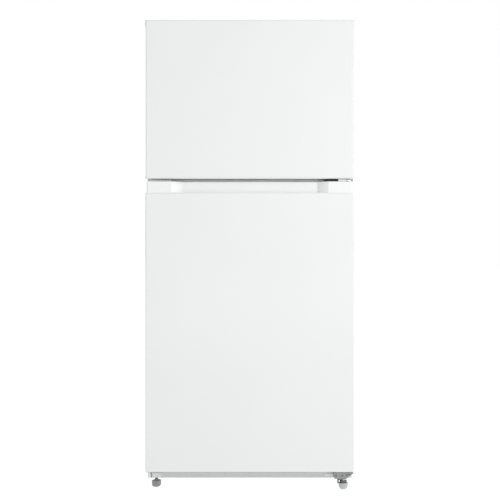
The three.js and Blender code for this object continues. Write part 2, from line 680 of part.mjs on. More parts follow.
function buildFridgeDoor(group) {
  const ridge = { outer: 315, inner: 290, depth: 70, low: 122, high: 1054 };
  place(group, "fridge_door_skin", doorSkin([DOOR_BOTTOM + 3, FRIDGE_CAP_BOTTOM]), WHITE_STEEL);
  place(group, "fridge_door_foam", doorFoam(ridge, [DOOR_BOTTOM + 25, FRIDGE_CAP_BOTTOM - 25]), FOAM_YELLOW);
  const lugs = Object.values(FRIDGE_BINS.levels).map(([z]) => z);
  const plate = [DOOR_BOTTOM + 1, FRIDGE_DOOR_TOP - 1];
  place(group, "fridge_door_liner", doorLiner(ridge, plate, lugs), LINER_WHITE);
  place(group, "fridge_door_top_cap", fridgeTopCap(), WHITE_PLASTIC);
  place(group, "fridge_door_bottom_cap", fridgeBottomCap(), WHITE_PLASTIC);
  place(group, "fridge_door_gasket", doorGasket(FRIDGE.floor - 24, FRIDGE.roof + 24), GASKET_GREY);
  for (const [name, [z, height]] of Object.entries(FRIDGE_BINS.levels))
    place(group, name, doorBin(FRIDGE_BINS.half, height), CLEAR_PLASTIC, [0, 0, z]);
  // The lid lies on the dairy bin and turns up about a round edge along its front.
  const half = FRIDGE_BINS.half - 2;
  const lid = join(slab([-half, half], [0, DAIRY_LID.reach], [-2, 1]), rodX(3.5, [0, 0], [-half, half], 10));
  place(group, "dairy_lid", lid, CLEAR_PLASTIC, [0, DAIRY_LID.y, DAIRY_LID.z]);
}

// ---- hinges ----
const hingePin = (span) => rodZ(PIN_RADIUS, [HINGE.x, HINGE.y], span, 16);

// A plan with a half round end about the hinge's axis.
function armPlan(left, right, back) {
  const reach = 15;
  const arm = new THREE.Shape();
  arm.moveTo(left, back);
  arm.lineTo(left, HINGE.y);
  arm.absarc(HINGE.x, HINGE.y, reach, Math.PI, 2 * Math.PI, false);
  arm.lineTo(right, back);
  arm.closePath();
  return arm;
}

function topHinge() {
  const foot = CABINET_TOP + GAP;
  const arm = [DOOR_TOP + 0.5, DOOR_TOP + 2.5];
  return join(
    slab([296, 370.5], [-312, -232], [foot, foot + 3]),
    slab([340.5, 370.5], [-312, -309], [foot, arm[1]]),
    prismZ(armPlan(340.5, 370.5, -309), arm, 12),
    hingePin([DOOR_TOP - 14, arm[1]]),
  );
}

function topHingeCover() {
  const top = 1712;
  const side = outline([
    [-345, DOOR_TOP + 1],
    [-345, top - 2],
    [-340, top],
    [-228, top],
    [-222, top - 5],
    [-222, CABINET_TOP + GAP],
    [-315.5, CABINET_TOP + GAP],
    [-315.5, DOOR_TOP + 1],
  ]);
  return cut(
    prismX(side, [290, 374]),
    slab([293, 372], [-313, -225], [CABINET_TOP - 1, top - 3]),
    slab([338, 372], [-350, -300], [DOOR_TOP - 2, top - 3]),
  );
}

// The middle bracket carries the freezer door on its upper pin and steadies the fridge door with the lower one.
function midHinge() {
  const plate = [FRIDGE_DOOR_TOP + 3, FREEZER_DOOR_BOTTOM - 3];
  return join(
    slab([293, GASKET.outer], [Y_CABINET - 3.3, Y_CABINET - GAP], [FRIDGE_DOOR_TOP - 10.5, FREEZER_DOOR_BOTTOM + 11.5]),
    slab([318, 345], [-372, Y_CABINET - 1], plate),
    prismZ(armPlan(340.5, 370.5, Y_CABINET - GAP), plate, 12),
    hingePin([FRIDGE_DOOR_TOP - 14, FREEZER_DOOR_BOTTOM + 14]),
  );
}

// The bottom bracket stands in front of the base rail, carries the fridge door and takes the right foot's stud.
function bottomHinge() {
  const shelf = [60, 64];
  const back = Y_CABINET - GAP;
  return cut(
    join(
      slab([306, 371], [back - 3, back], [43, 74]),
      slab([318, 345], [-372, back - 1], shelf),
      prismZ(armPlan(340.5, 370.5, back - 1), shelf, 12),
      slab([330, 365], [-372, -369.5], [46, 62]),
      slab([319, 322.5], [-346, back - 1], [20, 62]),
      hingePin([62, DOOR_BOTTOM + 15]),
    ),
    rodZ(FOOT.hole, [FOOT.rightX, FOOT.rightY], [50, 70]),
  );
}

function buildHinges(group) {
  place(group, "top_hinge", topHinge(), ZINC);
  place(group, "top_hinge_cover", topHingeCover(), WHITE_PLASTIC);
  place(group, "mid_hinge", midHinge(), ZINC);
  place(group, "bottom_hinge", bottomHinge(), ZINC);
}

// ---- feet and rollers ----
function leftFoot() {
  return turned([
    [0, 0],
    [10, 0],
    [15, 3],
    [16.3, 6],
    [16.3, 25],
    [14, 28.5],
    [6, 30],
    [5.3, 37.5],
    [FOOT.stud, 37.5],
    [FOOT.stud, 58],
    [0, 58],
  ], 12);
}

// A round-bottomed pad under a serrated nut.
function rightFoot() {
  return turned([
    [0, 0],
    [7, 0],
    [12, 2.5],
    [16, 9],
    [17.3, 16],
    [17.3, 29],
    [13.5, 30.5],
    [13.5, 37.5],
    [FOOT.stud, 38.2],
    [FOOT.stud, 74],
    [0, 74],
  ], 16);
}

function roller() {
  const { radius, width, bore } = ROLLER;
  return cut(rodX(radius, [0, 0], [-width / 2, width / 2], 24), rodX(bore, [0, 0], [-width, width], 12));
}

function buildSupports(group) {
  place(group, "front_foot_left", leftFoot(), GREY_PLASTIC, [FOOT.leftX, FOOT.leftY, 0]);
  place(group, "front_foot_right", rightFoot(), LIGHT_GREY_PLASTIC, [FOOT.rightX, FOOT.rightY, 0]);
  for (const [name, side] of [["rear_roller_left", -1], ["rear_roller_right", 1]])
    place(group, name, roller(), DARK_PLASTIC, [side * ROLLER.x, ROLLER.y, ROLLER.radius]);
}

for (const build of [
  buildCabinet,
  buildMachine,
  buildFreezerInside,
  buildFridgeInside,
  buildFreezerDoor,
  buildFridgeDoor,
  buildHinges,
  buildSupports,
]) {
  const group = new THREE.Group();
  build(group);
  root.add(group);
}

export default root;
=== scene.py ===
# The looks of a top freezer refrigerator: finishes, formed surfaces and small hardware round the packed
# CAD frame. Forms are made in millimetres in the object's frame, and become pieces in metres.
import json
import math

import bmesh
import bpy
from mathutils import Matrix, Vector

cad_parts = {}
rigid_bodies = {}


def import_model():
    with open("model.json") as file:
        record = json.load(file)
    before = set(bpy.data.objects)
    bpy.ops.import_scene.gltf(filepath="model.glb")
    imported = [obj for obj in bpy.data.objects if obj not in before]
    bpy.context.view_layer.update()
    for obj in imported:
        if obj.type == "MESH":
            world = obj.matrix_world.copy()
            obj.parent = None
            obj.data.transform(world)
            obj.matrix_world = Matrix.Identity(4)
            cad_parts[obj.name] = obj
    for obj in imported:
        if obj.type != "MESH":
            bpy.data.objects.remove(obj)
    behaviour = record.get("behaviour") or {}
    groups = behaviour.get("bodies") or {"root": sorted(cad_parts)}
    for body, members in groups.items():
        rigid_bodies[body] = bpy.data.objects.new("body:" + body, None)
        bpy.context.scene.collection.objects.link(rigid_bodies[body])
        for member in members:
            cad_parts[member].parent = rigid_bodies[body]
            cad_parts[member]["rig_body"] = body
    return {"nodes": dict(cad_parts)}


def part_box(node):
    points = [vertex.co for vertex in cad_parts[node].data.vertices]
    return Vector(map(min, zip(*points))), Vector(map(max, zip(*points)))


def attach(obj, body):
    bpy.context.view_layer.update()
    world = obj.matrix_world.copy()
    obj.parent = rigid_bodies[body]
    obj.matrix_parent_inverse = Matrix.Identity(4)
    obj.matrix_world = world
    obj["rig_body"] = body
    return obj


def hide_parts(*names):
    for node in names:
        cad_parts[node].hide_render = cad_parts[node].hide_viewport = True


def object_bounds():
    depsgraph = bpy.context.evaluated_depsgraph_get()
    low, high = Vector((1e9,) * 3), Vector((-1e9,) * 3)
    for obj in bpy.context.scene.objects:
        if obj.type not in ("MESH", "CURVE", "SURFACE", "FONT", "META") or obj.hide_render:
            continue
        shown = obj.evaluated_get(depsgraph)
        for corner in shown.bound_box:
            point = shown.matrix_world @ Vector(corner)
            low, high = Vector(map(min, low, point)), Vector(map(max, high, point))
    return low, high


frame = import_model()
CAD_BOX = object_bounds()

MM = 0.001
NODES = frame["nodes"]
SHARP = 38  # degrees between faces from which an edge is shaded sharp


def limits(node):
    """A CAD node's limits in millimetres along x, y and z."""
    low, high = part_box(node)
    return tuple((low[i] / MM, high[i] / MM) for i in range(3))


def body_of(node):
    return NODES[node]["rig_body"]


def linked(name, data):
    """A new object in the scene for a mesh, a light or a camera."""
    made = bpy.data.objects.new(name, data)
    bpy.context.scene.collection.objects.link(made)
    return made


# ---- finishes ----
class Finish:
    """A Principled material whose detail is procedural, in the piece's own coordinates."""

    def __init__(self, name, color, roughness, metallic=0.0, **sockets):
        self.material = bpy.data.materials.new(name)
        self.material.use_nodes = True
        self.tree = self.material.node_tree
        self.link = self.tree.links.new
        self.shader = self.tree.nodes["Principled BSDF"]
        values = {"Base Color": (*color, 1.0), "Roughness": roughness, "Metallic": metallic}
        values.update({key.replace("_", " "): value for key, value in sockets.items()})
        for key, value in values.items():
            self.shader.inputs[key].default_value = value
        self.coords = self.tree.nodes.new("ShaderNodeTexCoord").outputs["Object"]

    def node(self, kind, **inputs):
        made = self.tree.nodes.new(kind)
        for key, value in inputs.items():
            made.inputs[key.replace("_", " ")].default_value = value
        return made

    def stretched(self, scale):
        mapping = self.node("ShaderNodeMapping", Scale=scale)
        self.link(self.coords, mapping.inputs["Vector"])
        return mapping.outputs["Vector"]

    def noise(self, scale, detail=2.0, coords=None):
        made = self.node("ShaderNodeTexNoise", Scale=scale, Detail=detail)
        self.link(coords or self.coords, made.inputs["Vector"])
        return made.outputs["Fac"]

    def cells(self, scale, output="Distance"):
        made = self.node("ShaderNodeTexVoronoi", Scale=scale)
        self.link(self.coords, made.inputs["Vector"])
        return made.outputs[output]

    def across(self, axis, low, high):
        """From 0 to 1 between two places along one of the piece's own axes."""
        split = self.node("ShaderNodeSeparateXYZ")
        self.link(self.coords, split.inputs["Vector"])
        made = self.node("ShaderNodeMapRange", From_Min=low, From_Max=high)
        self.link(split.outputs[axis], made.inputs["Value"])
        return made.outputs["Result"]

    def product(self, first, second):
        """Two sources multiplied."""
        made = self.tree.nodes.new("ShaderNodeMath")
        made.operation = "MULTIPLY"
        self.link(first, made.inputs[0])
        self.link(second, made.inputs[1])
        return made.outputs["Value"]

    def bump(self, height, strength, distance):
        """Raises the surface, on top of any bump that it already has."""
        made = self.node("ShaderNodeBump", Strength=strength, Distance=distance)
        self.link(height, made.inputs["Height"])
        socket = self.shader.inputs["Normal"]
        if socket.is_linked:
            self.link(socket.links[0].from_socket, made.inputs["Normal"])
        self.link(made.outputs["Normal"], socket)
        return self

    def vary(self, socket, source, low, high):
        """Drives a socket from low to high over the middle of a noise's range."""
        made = self.node("ShaderNodeMapRange", From_Min=0.3, From_Max=0.7, To_Min=low, To_Max=high)
        self.link(source, made.inputs["Value"])
        self.link(made.outputs["Result"], self.shader.inputs[socket])
        return self

    def tint(self, source, first, second, at=(0.35, 0.65)):
        """Shades the colour from first to second between two values of a source."""
        ramp = self.tree.nodes.new("ShaderNodeValToRGB")
        for stop, place, color in zip(ramp.color_ramp.elements, at, (first, second)):
            stop.position = place
            stop.color = (*color, 1.0)
        self.link(source, ramp.inputs["Fac"])
        self.link(ramp.outputs["Color"], self.shader.inputs["Base Color"])
        return self


def enamel(name, color, peel=0.02):
    """Sprayed and baked paint: a faint orange peel and slow changes in gloss."""
    low = tuple(c * 0.988 for c in color)
    made = Finish(name, color, 0.34, Coat_Weight=0.25, Coat_Roughness=0.12)
    made.tint(made.noise(3.0), low, color)
    made.vary("Roughness", made.noise(14.0), 0.3, 0.38)
    return made.bump(made.noise(420.0, 1.0), peel, 0.0004)


def moulded(name, color, roughness=0.42, grain=0.06, **sockets):
    """Injection moulded plastic with a fine spark-eroded grain."""
    low = tuple(c * 0.975 for c in color)
    made = Finish(name, color, roughness, **sockets)
    made.tint(made.noise(9.0), low, color)
    made.vary("Roughness", made.noise(60.0), roughness - 0.04, roughness + 0.05)
    return made.bump(made.noise(900.0, 1.0), grain * 0.6, 0.0003)


def formed(name, color):
    """Vacuum formed sheet: glossy, with long soft waves where it was stretched."""
    low = tuple(c * 0.985 for c in color)
    made = Finish(name, color, 0.32)
    made.tint(made.noise(6.0), low, color)
    made.vary("Roughness", made.noise(30.0), 0.29, 0.36)
    return made.bump(made.noise(9.0, 1.0), 0.02, 0.001)


def galvanised(name, color=(0.56, 0.57, 0.58)):
    """Zinc coated sheet with its spangle."""
    dark = tuple(c * 0.88 for c in color)
    made = Finish(name, color, 0.42, 1.0)
    made.tint(made.cells(150.0, "Color"), dark, color, at=(0.1, 0.9))
    made.vary("Roughness", made.noise(40.0, 4.0), 0.36, 0.52)
    return made.bump(made.noise(300.0, 3.0), 0.05, 0.0003)


def zinc_plate(name, color, dulled=0.86):
    """Bright plated hardware, brushed by tumbling, a little dulled."""
    dark = tuple(c * dulled for c in color)
    made = Finish(name, color, 0.36, 1.0)
    made.tint(made.noise(90.0, 4.0), dark, color)
    made.vary("Roughness", made.noise(200.0, 3.0), 0.28, 0.46)
    return made.bump(made.noise(900.0, 2.0, made.stretched((1.0, 1.0, 0.15))), 0.06, 0.0002)


def black_enamel(name):
    """Dipped black paint with dust on it."""
    made = Finish(name, (0.022, 0.022, 0.024), 0.32, Coat_Weight=0.3, Coat_Roughness=0.1)
    made.tint(made.noise(25.0, 5.0), (0.018, 0.018, 0.02), (0.05, 0.048, 0.046), at=(0.45, 0.8))
    made.vary("Roughness", made.noise(30.0, 4.0), 0.29, 0.5)
    return made.bump(made.noise(260.0, 2.0), 0.12, 0.0006)


def clear(name, color, roughness, alpha, grain=0.02):
    """Clear sheet, thin enough to show what lies behind it unbent."""
    made = Finish(name, color, roughness, Alpha=alpha, Coat_Weight=0.4, Coat_Roughness=0.02)
    made.tint(made.noise(5.0), tuple(c * 0.96 for c in color), color)
    made.vary("Roughness", made.noise(22.0, 5.0), roughness, roughness + 0.05)
    return made.bump(made.noise(500.0), grain, 0.0002)


def cap_plastic(name):
    return moulded(name, (0.77, 0.773, 0.775), 0.34, 0.03, Coat_Weight=0.5, Coat_Roughness=0.08)


def grip_painted_light_plastic():
    """The plastic of the door caps with painted light: whiter down inside the hand recess than on the
    door's face, to lighten the shade that falls in the recess.
    """
    made = cap_plastic("grip_painted_light_plastic")
    face, brim, floor = CAD_BOX[0].y, 1.135, 1.085
    inward = made.across("Y", face + 0.0005, face + 0.003)
    downward = made.across("Z", brim, floor)
    # painted light: the mask grows deeper into and lower down the recess, where the shade falls
    deep = made.product(inward, downward)
    return made.tint(deep, (0.785, 0.788, 0.79), (0.95, 0.952, 0.954), (0.0, 1.0))


DOOR = enamel("door_enamel", (0.755, 0.758, 0.76))
SIDE = enamel("cabinet_enamel", (0.76, 0.763, 0.765), peel=0.0)
SIDE.bump(SIDE.cells(420.0), 0.22, 0.0005)
# painted light: a whiter enamel than the cabinet's, which lightens the shade in the deep gap between the
# doors
MULLION_LIGHTENED = enamel("mullion_enamel_lightened", (0.88, 0.885, 0.89))
CAP = cap_plastic("cap_plastic")
GRIP_PAINTED_LIGHT = grip_painted_light_plastic()
LINER = formed("liner_sheet", (0.80, 0.815, 0.82))
TRIM = moulded("trim_plastic", (0.52, 0.54, 0.55), 0.35)
BLACK = moulded("black_plastic", (0.02, 0.02, 0.021), 0.45, 0.1)
DARK = moulded("dark_plastic", (0.06, 0.06, 0.064), 0.5, 0.1)
GREY = moulded("grey_plastic", (0.22, 0.225, 0.23), 0.5, 0.1)
PALE = moulded("pale_grey_plastic", (0.45, 0.46, 0.47), 0.45, 0.08)
GASKET = moulded("gasket_vinyl", (0.74, 0.745, 0.75), 0.62, 0.12, Sheen_Weight=0.1)
ZINC = galvanised("galvanised_sheet")
PLATED = zinc_plate("plated_steel", (0.68, 0.685, 0.69))
SCREW = zinc_plate("screw_steel", (0.5, 0.5, 0.51))
ENAMEL_BLACK = black_enamel("black_enamel")
COPPER = zinc_plate("copper_tube", (0.72, 0.36, 0.2))
FIN = zinc_plate("fin_aluminium", (0.74, 0.75, 0.76))
BRIGHT = zinc_plate("bright_zinc", (0.7, 0.705, 0.71))
STEEL = zinc_plate("turned_steel", (0.42, 0.42, 0.425))
STAMPED = zinc_plate("stamped_steel", (0.3, 0.305, 0.3))
DARK_STEEL = zinc_plate("dark_steel", (0.16, 0.165, 0.165))
BUSH = moulded("bush_plastic", (0.13, 0.13, 0.13), 0.4)
RAIL = zinc_plate("rail_steel", (0.5, 0.51, 0.505), 0.97)
BRACKET = zinc_plate("bracket_steel", (0.62, 0.63, 0.625), 0.9)
CUP = moulded("foot_plastic", (0.47, 0.49, 0.485), 0.5, 0.1)
NUT = moulded("nut_plastic", (0.14, 0.142, 0.145), 0.45, 0.1)
KNOB = moulded("knob_plastic", (0.26, 0.262, 0.264), 0.5, 0.1)
GLASS = clear("shelf_glass", (0.72, 0.86, 0.79), 0.04, 0.2)
CRYSTAL = clear("clear_styrene", (0.76, 0.83, 0.86), 0.08, 0.18)
LENS = clear("lamp_lens", (0.9, 0.89, 0.86), 0.3, 0.75, 0.1)
FOAM = Finish("insulating_foam", (0.72, 0.6, 0.32), 0.9)
FOAM.tint(FOAM.noise(45.0, 5.0), (0.62, 0.49, 0.24), (0.76, 0.65, 0.38))
FOAM.bump(FOAM.cells(600.0), 0.5, 0.001)


# ---- forms ----
def circle(steps):
    """Angles evenly round a circle."""
    return [2 * math.pi * i / steps for i in range(steps)]


def arc(start, end, step):
    """Angles from one to another in whole degrees, both included."""
    return [math.radians(a) for a in range(start, end + 1, step)]


def offsets(u, v, *points):
    """Points given by their distances from one place."""
    return [(u + du, v + dv) for du, dv in points]


def pair(side, near, far):
    """Limits along x on one side (-1 or 1) of the middle."""
    return sorted((side * near, side * far))


def rounded(x, y, radius, steps=5):
    """A rectangle's outline with round corners, anticlockwise from the lower right."""
    (x0, x1), (y0, y1) = x, y
    r = max(min(radius, (x1 - x0) / 2 - 0.01, (y1 - y0) / 2 - 0.01), 0.01)
    corners = ((x1 - r, y0 + r, -90), (x1 - r, y1 - r, 0), (x0 + r, y1 - r, 90), (x0 + r, y0 + r, 180))
    points = []
    for cx, cy, start in corners:
        for i in range(steps + 1):
            a = math.radians(start + 90 * i / steps)
            points.append((cx + r * math.cos(a), cy + r * math.sin(a)))
    return points


def smooth_path(points, steps=6):
    """Points on a smooth curve through the given ones."""
    p = [Vector(q) for q in points]
    p = [2 * p[0] - p[1], *p, 2 * p[-1] - p[-2]]
    made = []
    for a, b, c, d in zip(p, p[1:], p[2:], p[3:]):
        for i in range(steps):
            t = i / steps
            bend, twist = 2 * a - 5 * b + 4 * c - d, 3 * b - a - 3 * c + d
            made.append(0.5 * (2 * b + (c - a) * t + bend * t**2 + twist * t**3))
    return made + [p[-2]]


TO_AXIS = {
    "x": lambda u, v, w: (w, u, v),
    "y": lambda u, v, w: (u, w, v),
    "z": lambda u, v, w: (u, v, w),
}


def ease(bm, edges, width, segments):
    bmesh.ops.bevel(bm, geom=edges, offset=width, segments=segments, profile=0.5, affect="EDGES",
                    clamp_overlap=True)


class Form:
    """Gathers rounded solids into one mesh, in millimetres."""

    def __init__(self):
        self.bm = bmesh.new()

    def box(self, x, y, z, radius=0.8, segments=3):
        verts = bmesh.ops.create_cube(self.bm, size=1.0)["verts"]
        for v in verts:
            v.co = Vector(low + (c + 0.5) * (high - low) for c, (low, high) in zip(v.co, (x, y, z)))
        if radius:
            edges = dict.fromkeys(e for v in verts for e in v.link_edges)  # keeps their order
            ease(self.bm, list(edges), radius, segments)
        return self

    def loft(self, rings, closed=False):
        """Skins a row of rings, closed into a hoop or capped at both ends."""
        rows = [[self.bm.verts.new(p) for p in ring] for ring in rings]
        following = rows[1:] + rows[:1] if closed else rows[1:]
        for a, b in zip(rows, following):
            for i in range(len(a)):
                self.bm.faces.new((a[i - 1], a[i], b[i], b[i - 1]))
        if not closed:
            self.bm.faces.new(rows[0])
            self.bm.faces.new(rows[-1][::-1])
        return self

    def prism(self, outline, axis, ends, radius=0.0):
        """An outline carried along an axis, its rims eased by radius."""
        place = TO_AXIS[axis]
        low, high = ends
        start = len(self.bm.edges)
        self.loft([[place(u, v, w) for u, v in outline] for w in (low, high)])
        if radius:
            self.bm.edges.ensure_lookup_table()
            along = "xyz".index(axis)
            rims = [e for e in self.bm.edges[start:]
                    if abs(e.verts[0].co[along] - e.verts[1].co[along]) < 1e-4]
            ease(self.bm, rims, radius, 2)
        return self

    def turned(self, profile, centre, axis="z", steps=40, shape=None):
        """A profile of radius and height turned about an axis; shape(angle) scales the radius."""
        place = TO_AXIS[axis]
        angles = circle(steps)
        rings = []
        for r, h in profile:
            r = max(r, 0.02)
            ring = [(r * math.cos(a), r * math.sin(a)) for a in angles]
            if shape:
                ring = [(u * shape(a), v * shape(a)) for (u, v), a in zip(ring, angles)]
            rings.append([Vector(place(u, v, h)) + Vector(centre) for u, v in ring])
        return self.loft(rings)

    def tube(self, points, radius, sides=10, steps=6):
        """A round bar along a smooth path, or with one step along the points themselves."""
        path = smooth_path(points, steps) if steps > 1 else [Vector(p) for p in points]
        side = None
        rings = []
        for i, p in enumerate(path):
            along = (path[min(i + 1, len(path) - 1)] - path[max(i - 1, 0)]).normalized()
            if side is None:
                side = along.orthogonal().normalized()
            side = (side - along * side.dot(along)).normalized()
            other = along.cross(side)
            rings.append([p + radius * (side * math.cos(a) + other * math.sin(a)) for a in circle(sides)])
        return self.loft(rings)

    def screw(self, at, axis, out=1, radius=4.2):
        """A domed head with a socket, standing out along an axis."""
        height = 2.4 * out
        profile = [(radius, 0), (radius, height * 0.45), (radius * 0.72, height), (radius * 0.4, height),
                   (radius * 0.36, height * 0.4), (0, height * 0.4)]
        return self.turned(profile, at, axis, 20)

    def piece(self, name, finish, body="cabinet", replaces=None, smooth=SHARP):
        """Ends the form as a piece that rides on a body, and may stand for a CAD node."""
        bmesh.ops.recalc_face_normals(self.bm, faces=self.bm.faces)
        mesh = bpy.data.meshes.new(name)
        self.bm.to_mesh(mesh)
        self.bm.free()
        mesh.transform(Matrix.Scale(MM, 4))
        return finished(mesh, name, finish, body, replaces, smooth)

    def stand_for(self, node, finish, suffix="_formed", smooth=SHARP):
        return self.piece(node + suffix, finish, body_of(node), node, smooth)


def wear(mesh, finish):
    """Gives a mesh one finish in place of those it had."""
    mesh.materials.clear()
    mesh.materials.append(finish.material)


def finished(mesh, name, finish, body, replaces=None, smooth=SHARP):
    """A piece from a mesh, smooth but for its sharp edges."""
    made = linked(name, mesh)
    wear(mesh, finish)
    mesh.polygons.foreach_set("use_smooth", [True] * len(mesh.polygons))
    mesh.set_sharp_from_angle(angle=math.radians(smooth))
    weighted = made.modifiers.new("even_normals", "WEIGHTED_NORMAL")
    weighted.keep_sharp = True
    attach(made, body)
    if replaces:
        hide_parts(replaces)
    return made


def eased(node, finish, width=0.8, segments=2, angle=50, smooth=SHARP):
    """A copy of a CAD node, its edges sharper than angle eased, which stands for it."""
    bm = bmesh.new()
    bm.from_mesh(NODES[node].data)
    bmesh.ops.remove_doubles(bm, verts=bm.verts, dist=2e-6)
    bmesh.ops.dissolve_limit(bm, angle_limit=math.radians(0.6), verts=bm.verts, edges=bm.edges)
    edges = [e for e in bm.edges if e.is_manifold and e.calc_face_angle(0) > math.radians(angle)]
    if width:
        ease(bm, edges, width * MM, segments)
    mesh = bpy.data.meshes.new(node + "_eased")
    bm.to_mesh(mesh)
    bm.free()
    return finished(mesh, node + "_eased", finish, body_of(node), node, smooth)


# ---- doors ----
def door_plan(half, front, bend, steps=10):
    """The left and right ends of a door's face in plan, rolled back at their edges."""
    right = [(half - bend + bend * math.sin(a), front + bend - bend * math.cos(a))
             for a in (math.pi / 2 * i / steps for i in range(steps + 1))]
    return [(-x, y) for x, y in reversed(right)], right


def door_skin(node, hang, spread):
    """A steel skin bent round the door's sides; hang and spread are how far it passes the CAD one."""
    (_, half), (front, back), (low, high) = limits(node)
    sheet, bend, groove = 1.2, 5.0, 0.6
    half += spread
    left, right = door_plan(half, front, bend)
    inner_left, inner_right = door_plan(half - sheet, front + sheet, bend - sheet)
    outer = [(-half, back), *left, *right, (half, back)]
    inner = [(half - sheet, back), *inner_right[::-1], *inner_left[::-1], (-half + sheet, back)]
    Form().prism(outer + inner, "z", (low - hang, high - groove), 0.3).stand_for(node, DOOR, "_sheet")


def door_edges():
    """A grey strip under the fridge door that paints the shadow line along its bottom, and the seam
    between its skin and its top cap.
    """
    _, (front, _), (low, _) = limits("fridge_door_bottom_cap")
    # painted shadow: a thin grey strip along the door's bottom edge, where the door's shade falls on the
    # base
    form = Form().box((-373, 373), (front + 0.5, front + 18), (low - 1.1, low + 0.3), 0.3, 1)
    form.piece("fridge_door_painted_shadow_strip", GREY, "fridge_door")
    _, (front, _), (_, top) = limits("fridge_door_skin")
    form = Form().box((-372, 372), (front + 0.5, front + 2), (top - 0.7, top + 0.2), 0.2, 1)
    form.piece("fridge_door_cap_seam", TRIM, "fridge_door")


for door, hang, spread in (("freezer_door", 0.0, 0.3), ("fridge_door", 2.7, 1.3)):
    door_skin(door + "_skin", hang, spread)
    eased(door + "_bottom_cap", CAP, 0.9)
eased("freezer_door_top_cap", CAP, 0.8)
door_edges()
# the fridge door's top cap wears the plastic with painted light in its hand recess
eased("fridge_door_top_cap", GRIP_PAINTED_LIGHT, 1.2, 3, 30, 24)


def gasket(node):
    """A magnetic gasket, mitred at its corners: a flat foot, two bellows and a pocket."""
    (_, half), (y0, _), (z0, z1) = limits(node)
    profile = [(0, 0), (20, 0), (20, 2), (17, 3), (18.5, 5), (17, 6.5), (19.5, 8), (19.5, 9.6),
               (18.5, 10.4), (1.5, 10.4), (0.5, 9.6), (0.5, 8), (3, 6.5), (1.5, 5), (3, 3), (0, 2)]
    middle, tall = (z0 + z1) / 2, (z1 - z0) / 2
    rings = []
    for sx, sz in ((1, -1), (1, 1), (-1, 1), (-1, -1)):
        rings.append([(sx * (half - u), y0 + v, middle + sz * (tall - u)) for u, v in profile])
    Form().loft(rings, closed=True).stand_for(node, GASKET, "_bellows")


def drawn_ridges(form, face, ridge_x, ridge_z, depth=70, shrink=0.0):
    """A pair of upright ridges drawn out of a door's inner face, from a wide foot to a round top."""
    (inner, outer), (low, high) = ridge_x, ridge_z
    steps = ((9, 0), (4, 1), (1.4, 3), (0, 7), (-0.6, depth - 9), (-2, depth - 4), (-5, depth - 1),
             (-9, depth))
    for side in (-1, 1):
        rings = []
        for spread, out in steps:
            spread -= shrink
            span = pair(side, inner - min(spread, 2.0), outer + spread)
            outline = rounded(span, (low - spread, high + spread), 11 + spread * 0.4, 5)
            rings.append([(u, face + out - shrink, v) for u, v in outline])
        form.loft(rings)


def door_inside(door, ridge_x, ridge_z, lugs):
    """A door's inner sheet, with lugs on its ridges for the bins, and the foam that fills it."""
    node = door + "_liner"
    (x0, x1), (y0, _), (z0, z1) = limits(node)
    face = y0 + 2
    form = Form().box((x0, x1), (y0, face), (z0, z1), 0.7, 2)
    drawn_ridges(form, face, ridge_x, ridge_z)
    inner = ridge_x[0]
    for side in (-1, 1):
        for z in lugs:
            form.box(pair(side, inner - 5, inner + 1), (face + 8, face + 40), (z - 9, z - 0.3), 1.6)
    form.stand_for(node, LINER, smooth=30)
    node = door + "_foam"
    x, (front, _), z = limits(node)
    foam = Form().box(x, (front, y0 - 0.3), z, 3.4, 3)
    drawn_ridges(foam, face, ridge_x, ridge_z, shrink=2.4)
    foam.stand_for(node, FOAM, "_block")


gasket("freezer_door_gasket")
gasket("fridge_door_gasket")
door_inside("freezer_door", (283, 308), (1180, 1634), (1190, 1420))
door_inside("fridge_door", (290, 315), (122, 1054), (140, 470, 872))


# ---- cabinet ----
LINER_CORNER = 24.0  # radius of the formed compartments' corners


def cavity(x, y, floor, roof, step=None, grow=0.0):
    """Rings of a formed cavity from its mouth to its back wall; step is a floor's rise, (y, z)."""
    turn, radius = arc(0, 90, 15), LINER_CORNER
    front, back = y
    path = [(front, floor - grow)]
    if step:
        foot, brow, (rise, top) = 18.0, 4.0, step
        path += [(rise + grow - foot + foot * math.sin(a), floor - grow + foot - foot * math.cos(a))
                 for a in turn]
        path += [(rise + grow + brow - brow * math.cos(a), top - grow - brow + brow * math.sin(a))
                 for a in turn]
    level = path[-1][1]
    path = [(at, low, 0.0) for at, low in path]
    path += [(back + grow - radius + radius * math.sin(a), level, radius - radius * math.cos(a))
             for a in turn]
    rings = []
    for at, low, inset in path:
        outline = rounded((-x - grow + inset, x + grow - inset), (low + inset, roof + grow - inset),
                          max(radius + grow - inset, 2.0), 6)
        rings.append([(u, at, v) for u, v in outline])
    return rings


def liner(node, x, floor, roof, ledges, step=None):
    """A vacuum formed compartment with a flared mouth; ledges are (level, back end) pairs."""
    (x0, x1), (front, _), (z0, z1) = limits(node)
    y = (front + 5, 320)
    flange = [[(u, at, v) for u, v in rounded((x0, x1), (z0, z1), 2.0, 6)] for at in (front + 2, front)]
    flare = []
    for out, deep in ((4.5, 0.0), (2.0, 0.8), (0.6, 2.4)):
        outline = rounded((-x - out, x + out), (floor - out / 3, roof + out / 3), LINER_CORNER, 6)
        flare.append([(u, front + deep, v) for u, v in outline])
    outer = cavity(x, y, floor, roof, step, 2.0)
    form = Form().loft([*outer[::-1], *flange, *flare, *cavity(x, y, floor, roof, step)])
    for level, end in ledges:
        for side in (-1, 1):
            form.box(pair(side, x - 6, x + 1), (-150, end), (level - 8, level), 2.4)
    return form


def fridge_liner():
    """The fridge compartment, stepped over the compressor, its back wall fluted."""
    ledges = [(z, 298.0) for z in (430, 560, 680, 800, 920)] + [(300, 141)]
    form = liner("fridge_liner", 325, 112, 1088, ledges, (140.0, 300.0))
    for side in (-1, 1):
        for x in (150, 190, 230, 270):
            form.box(pair(side, x, x + 6), (318.2, 321), (340, 1020), 1.2)
    form.stand_for("fridge_liner", LINER, smooth=30)


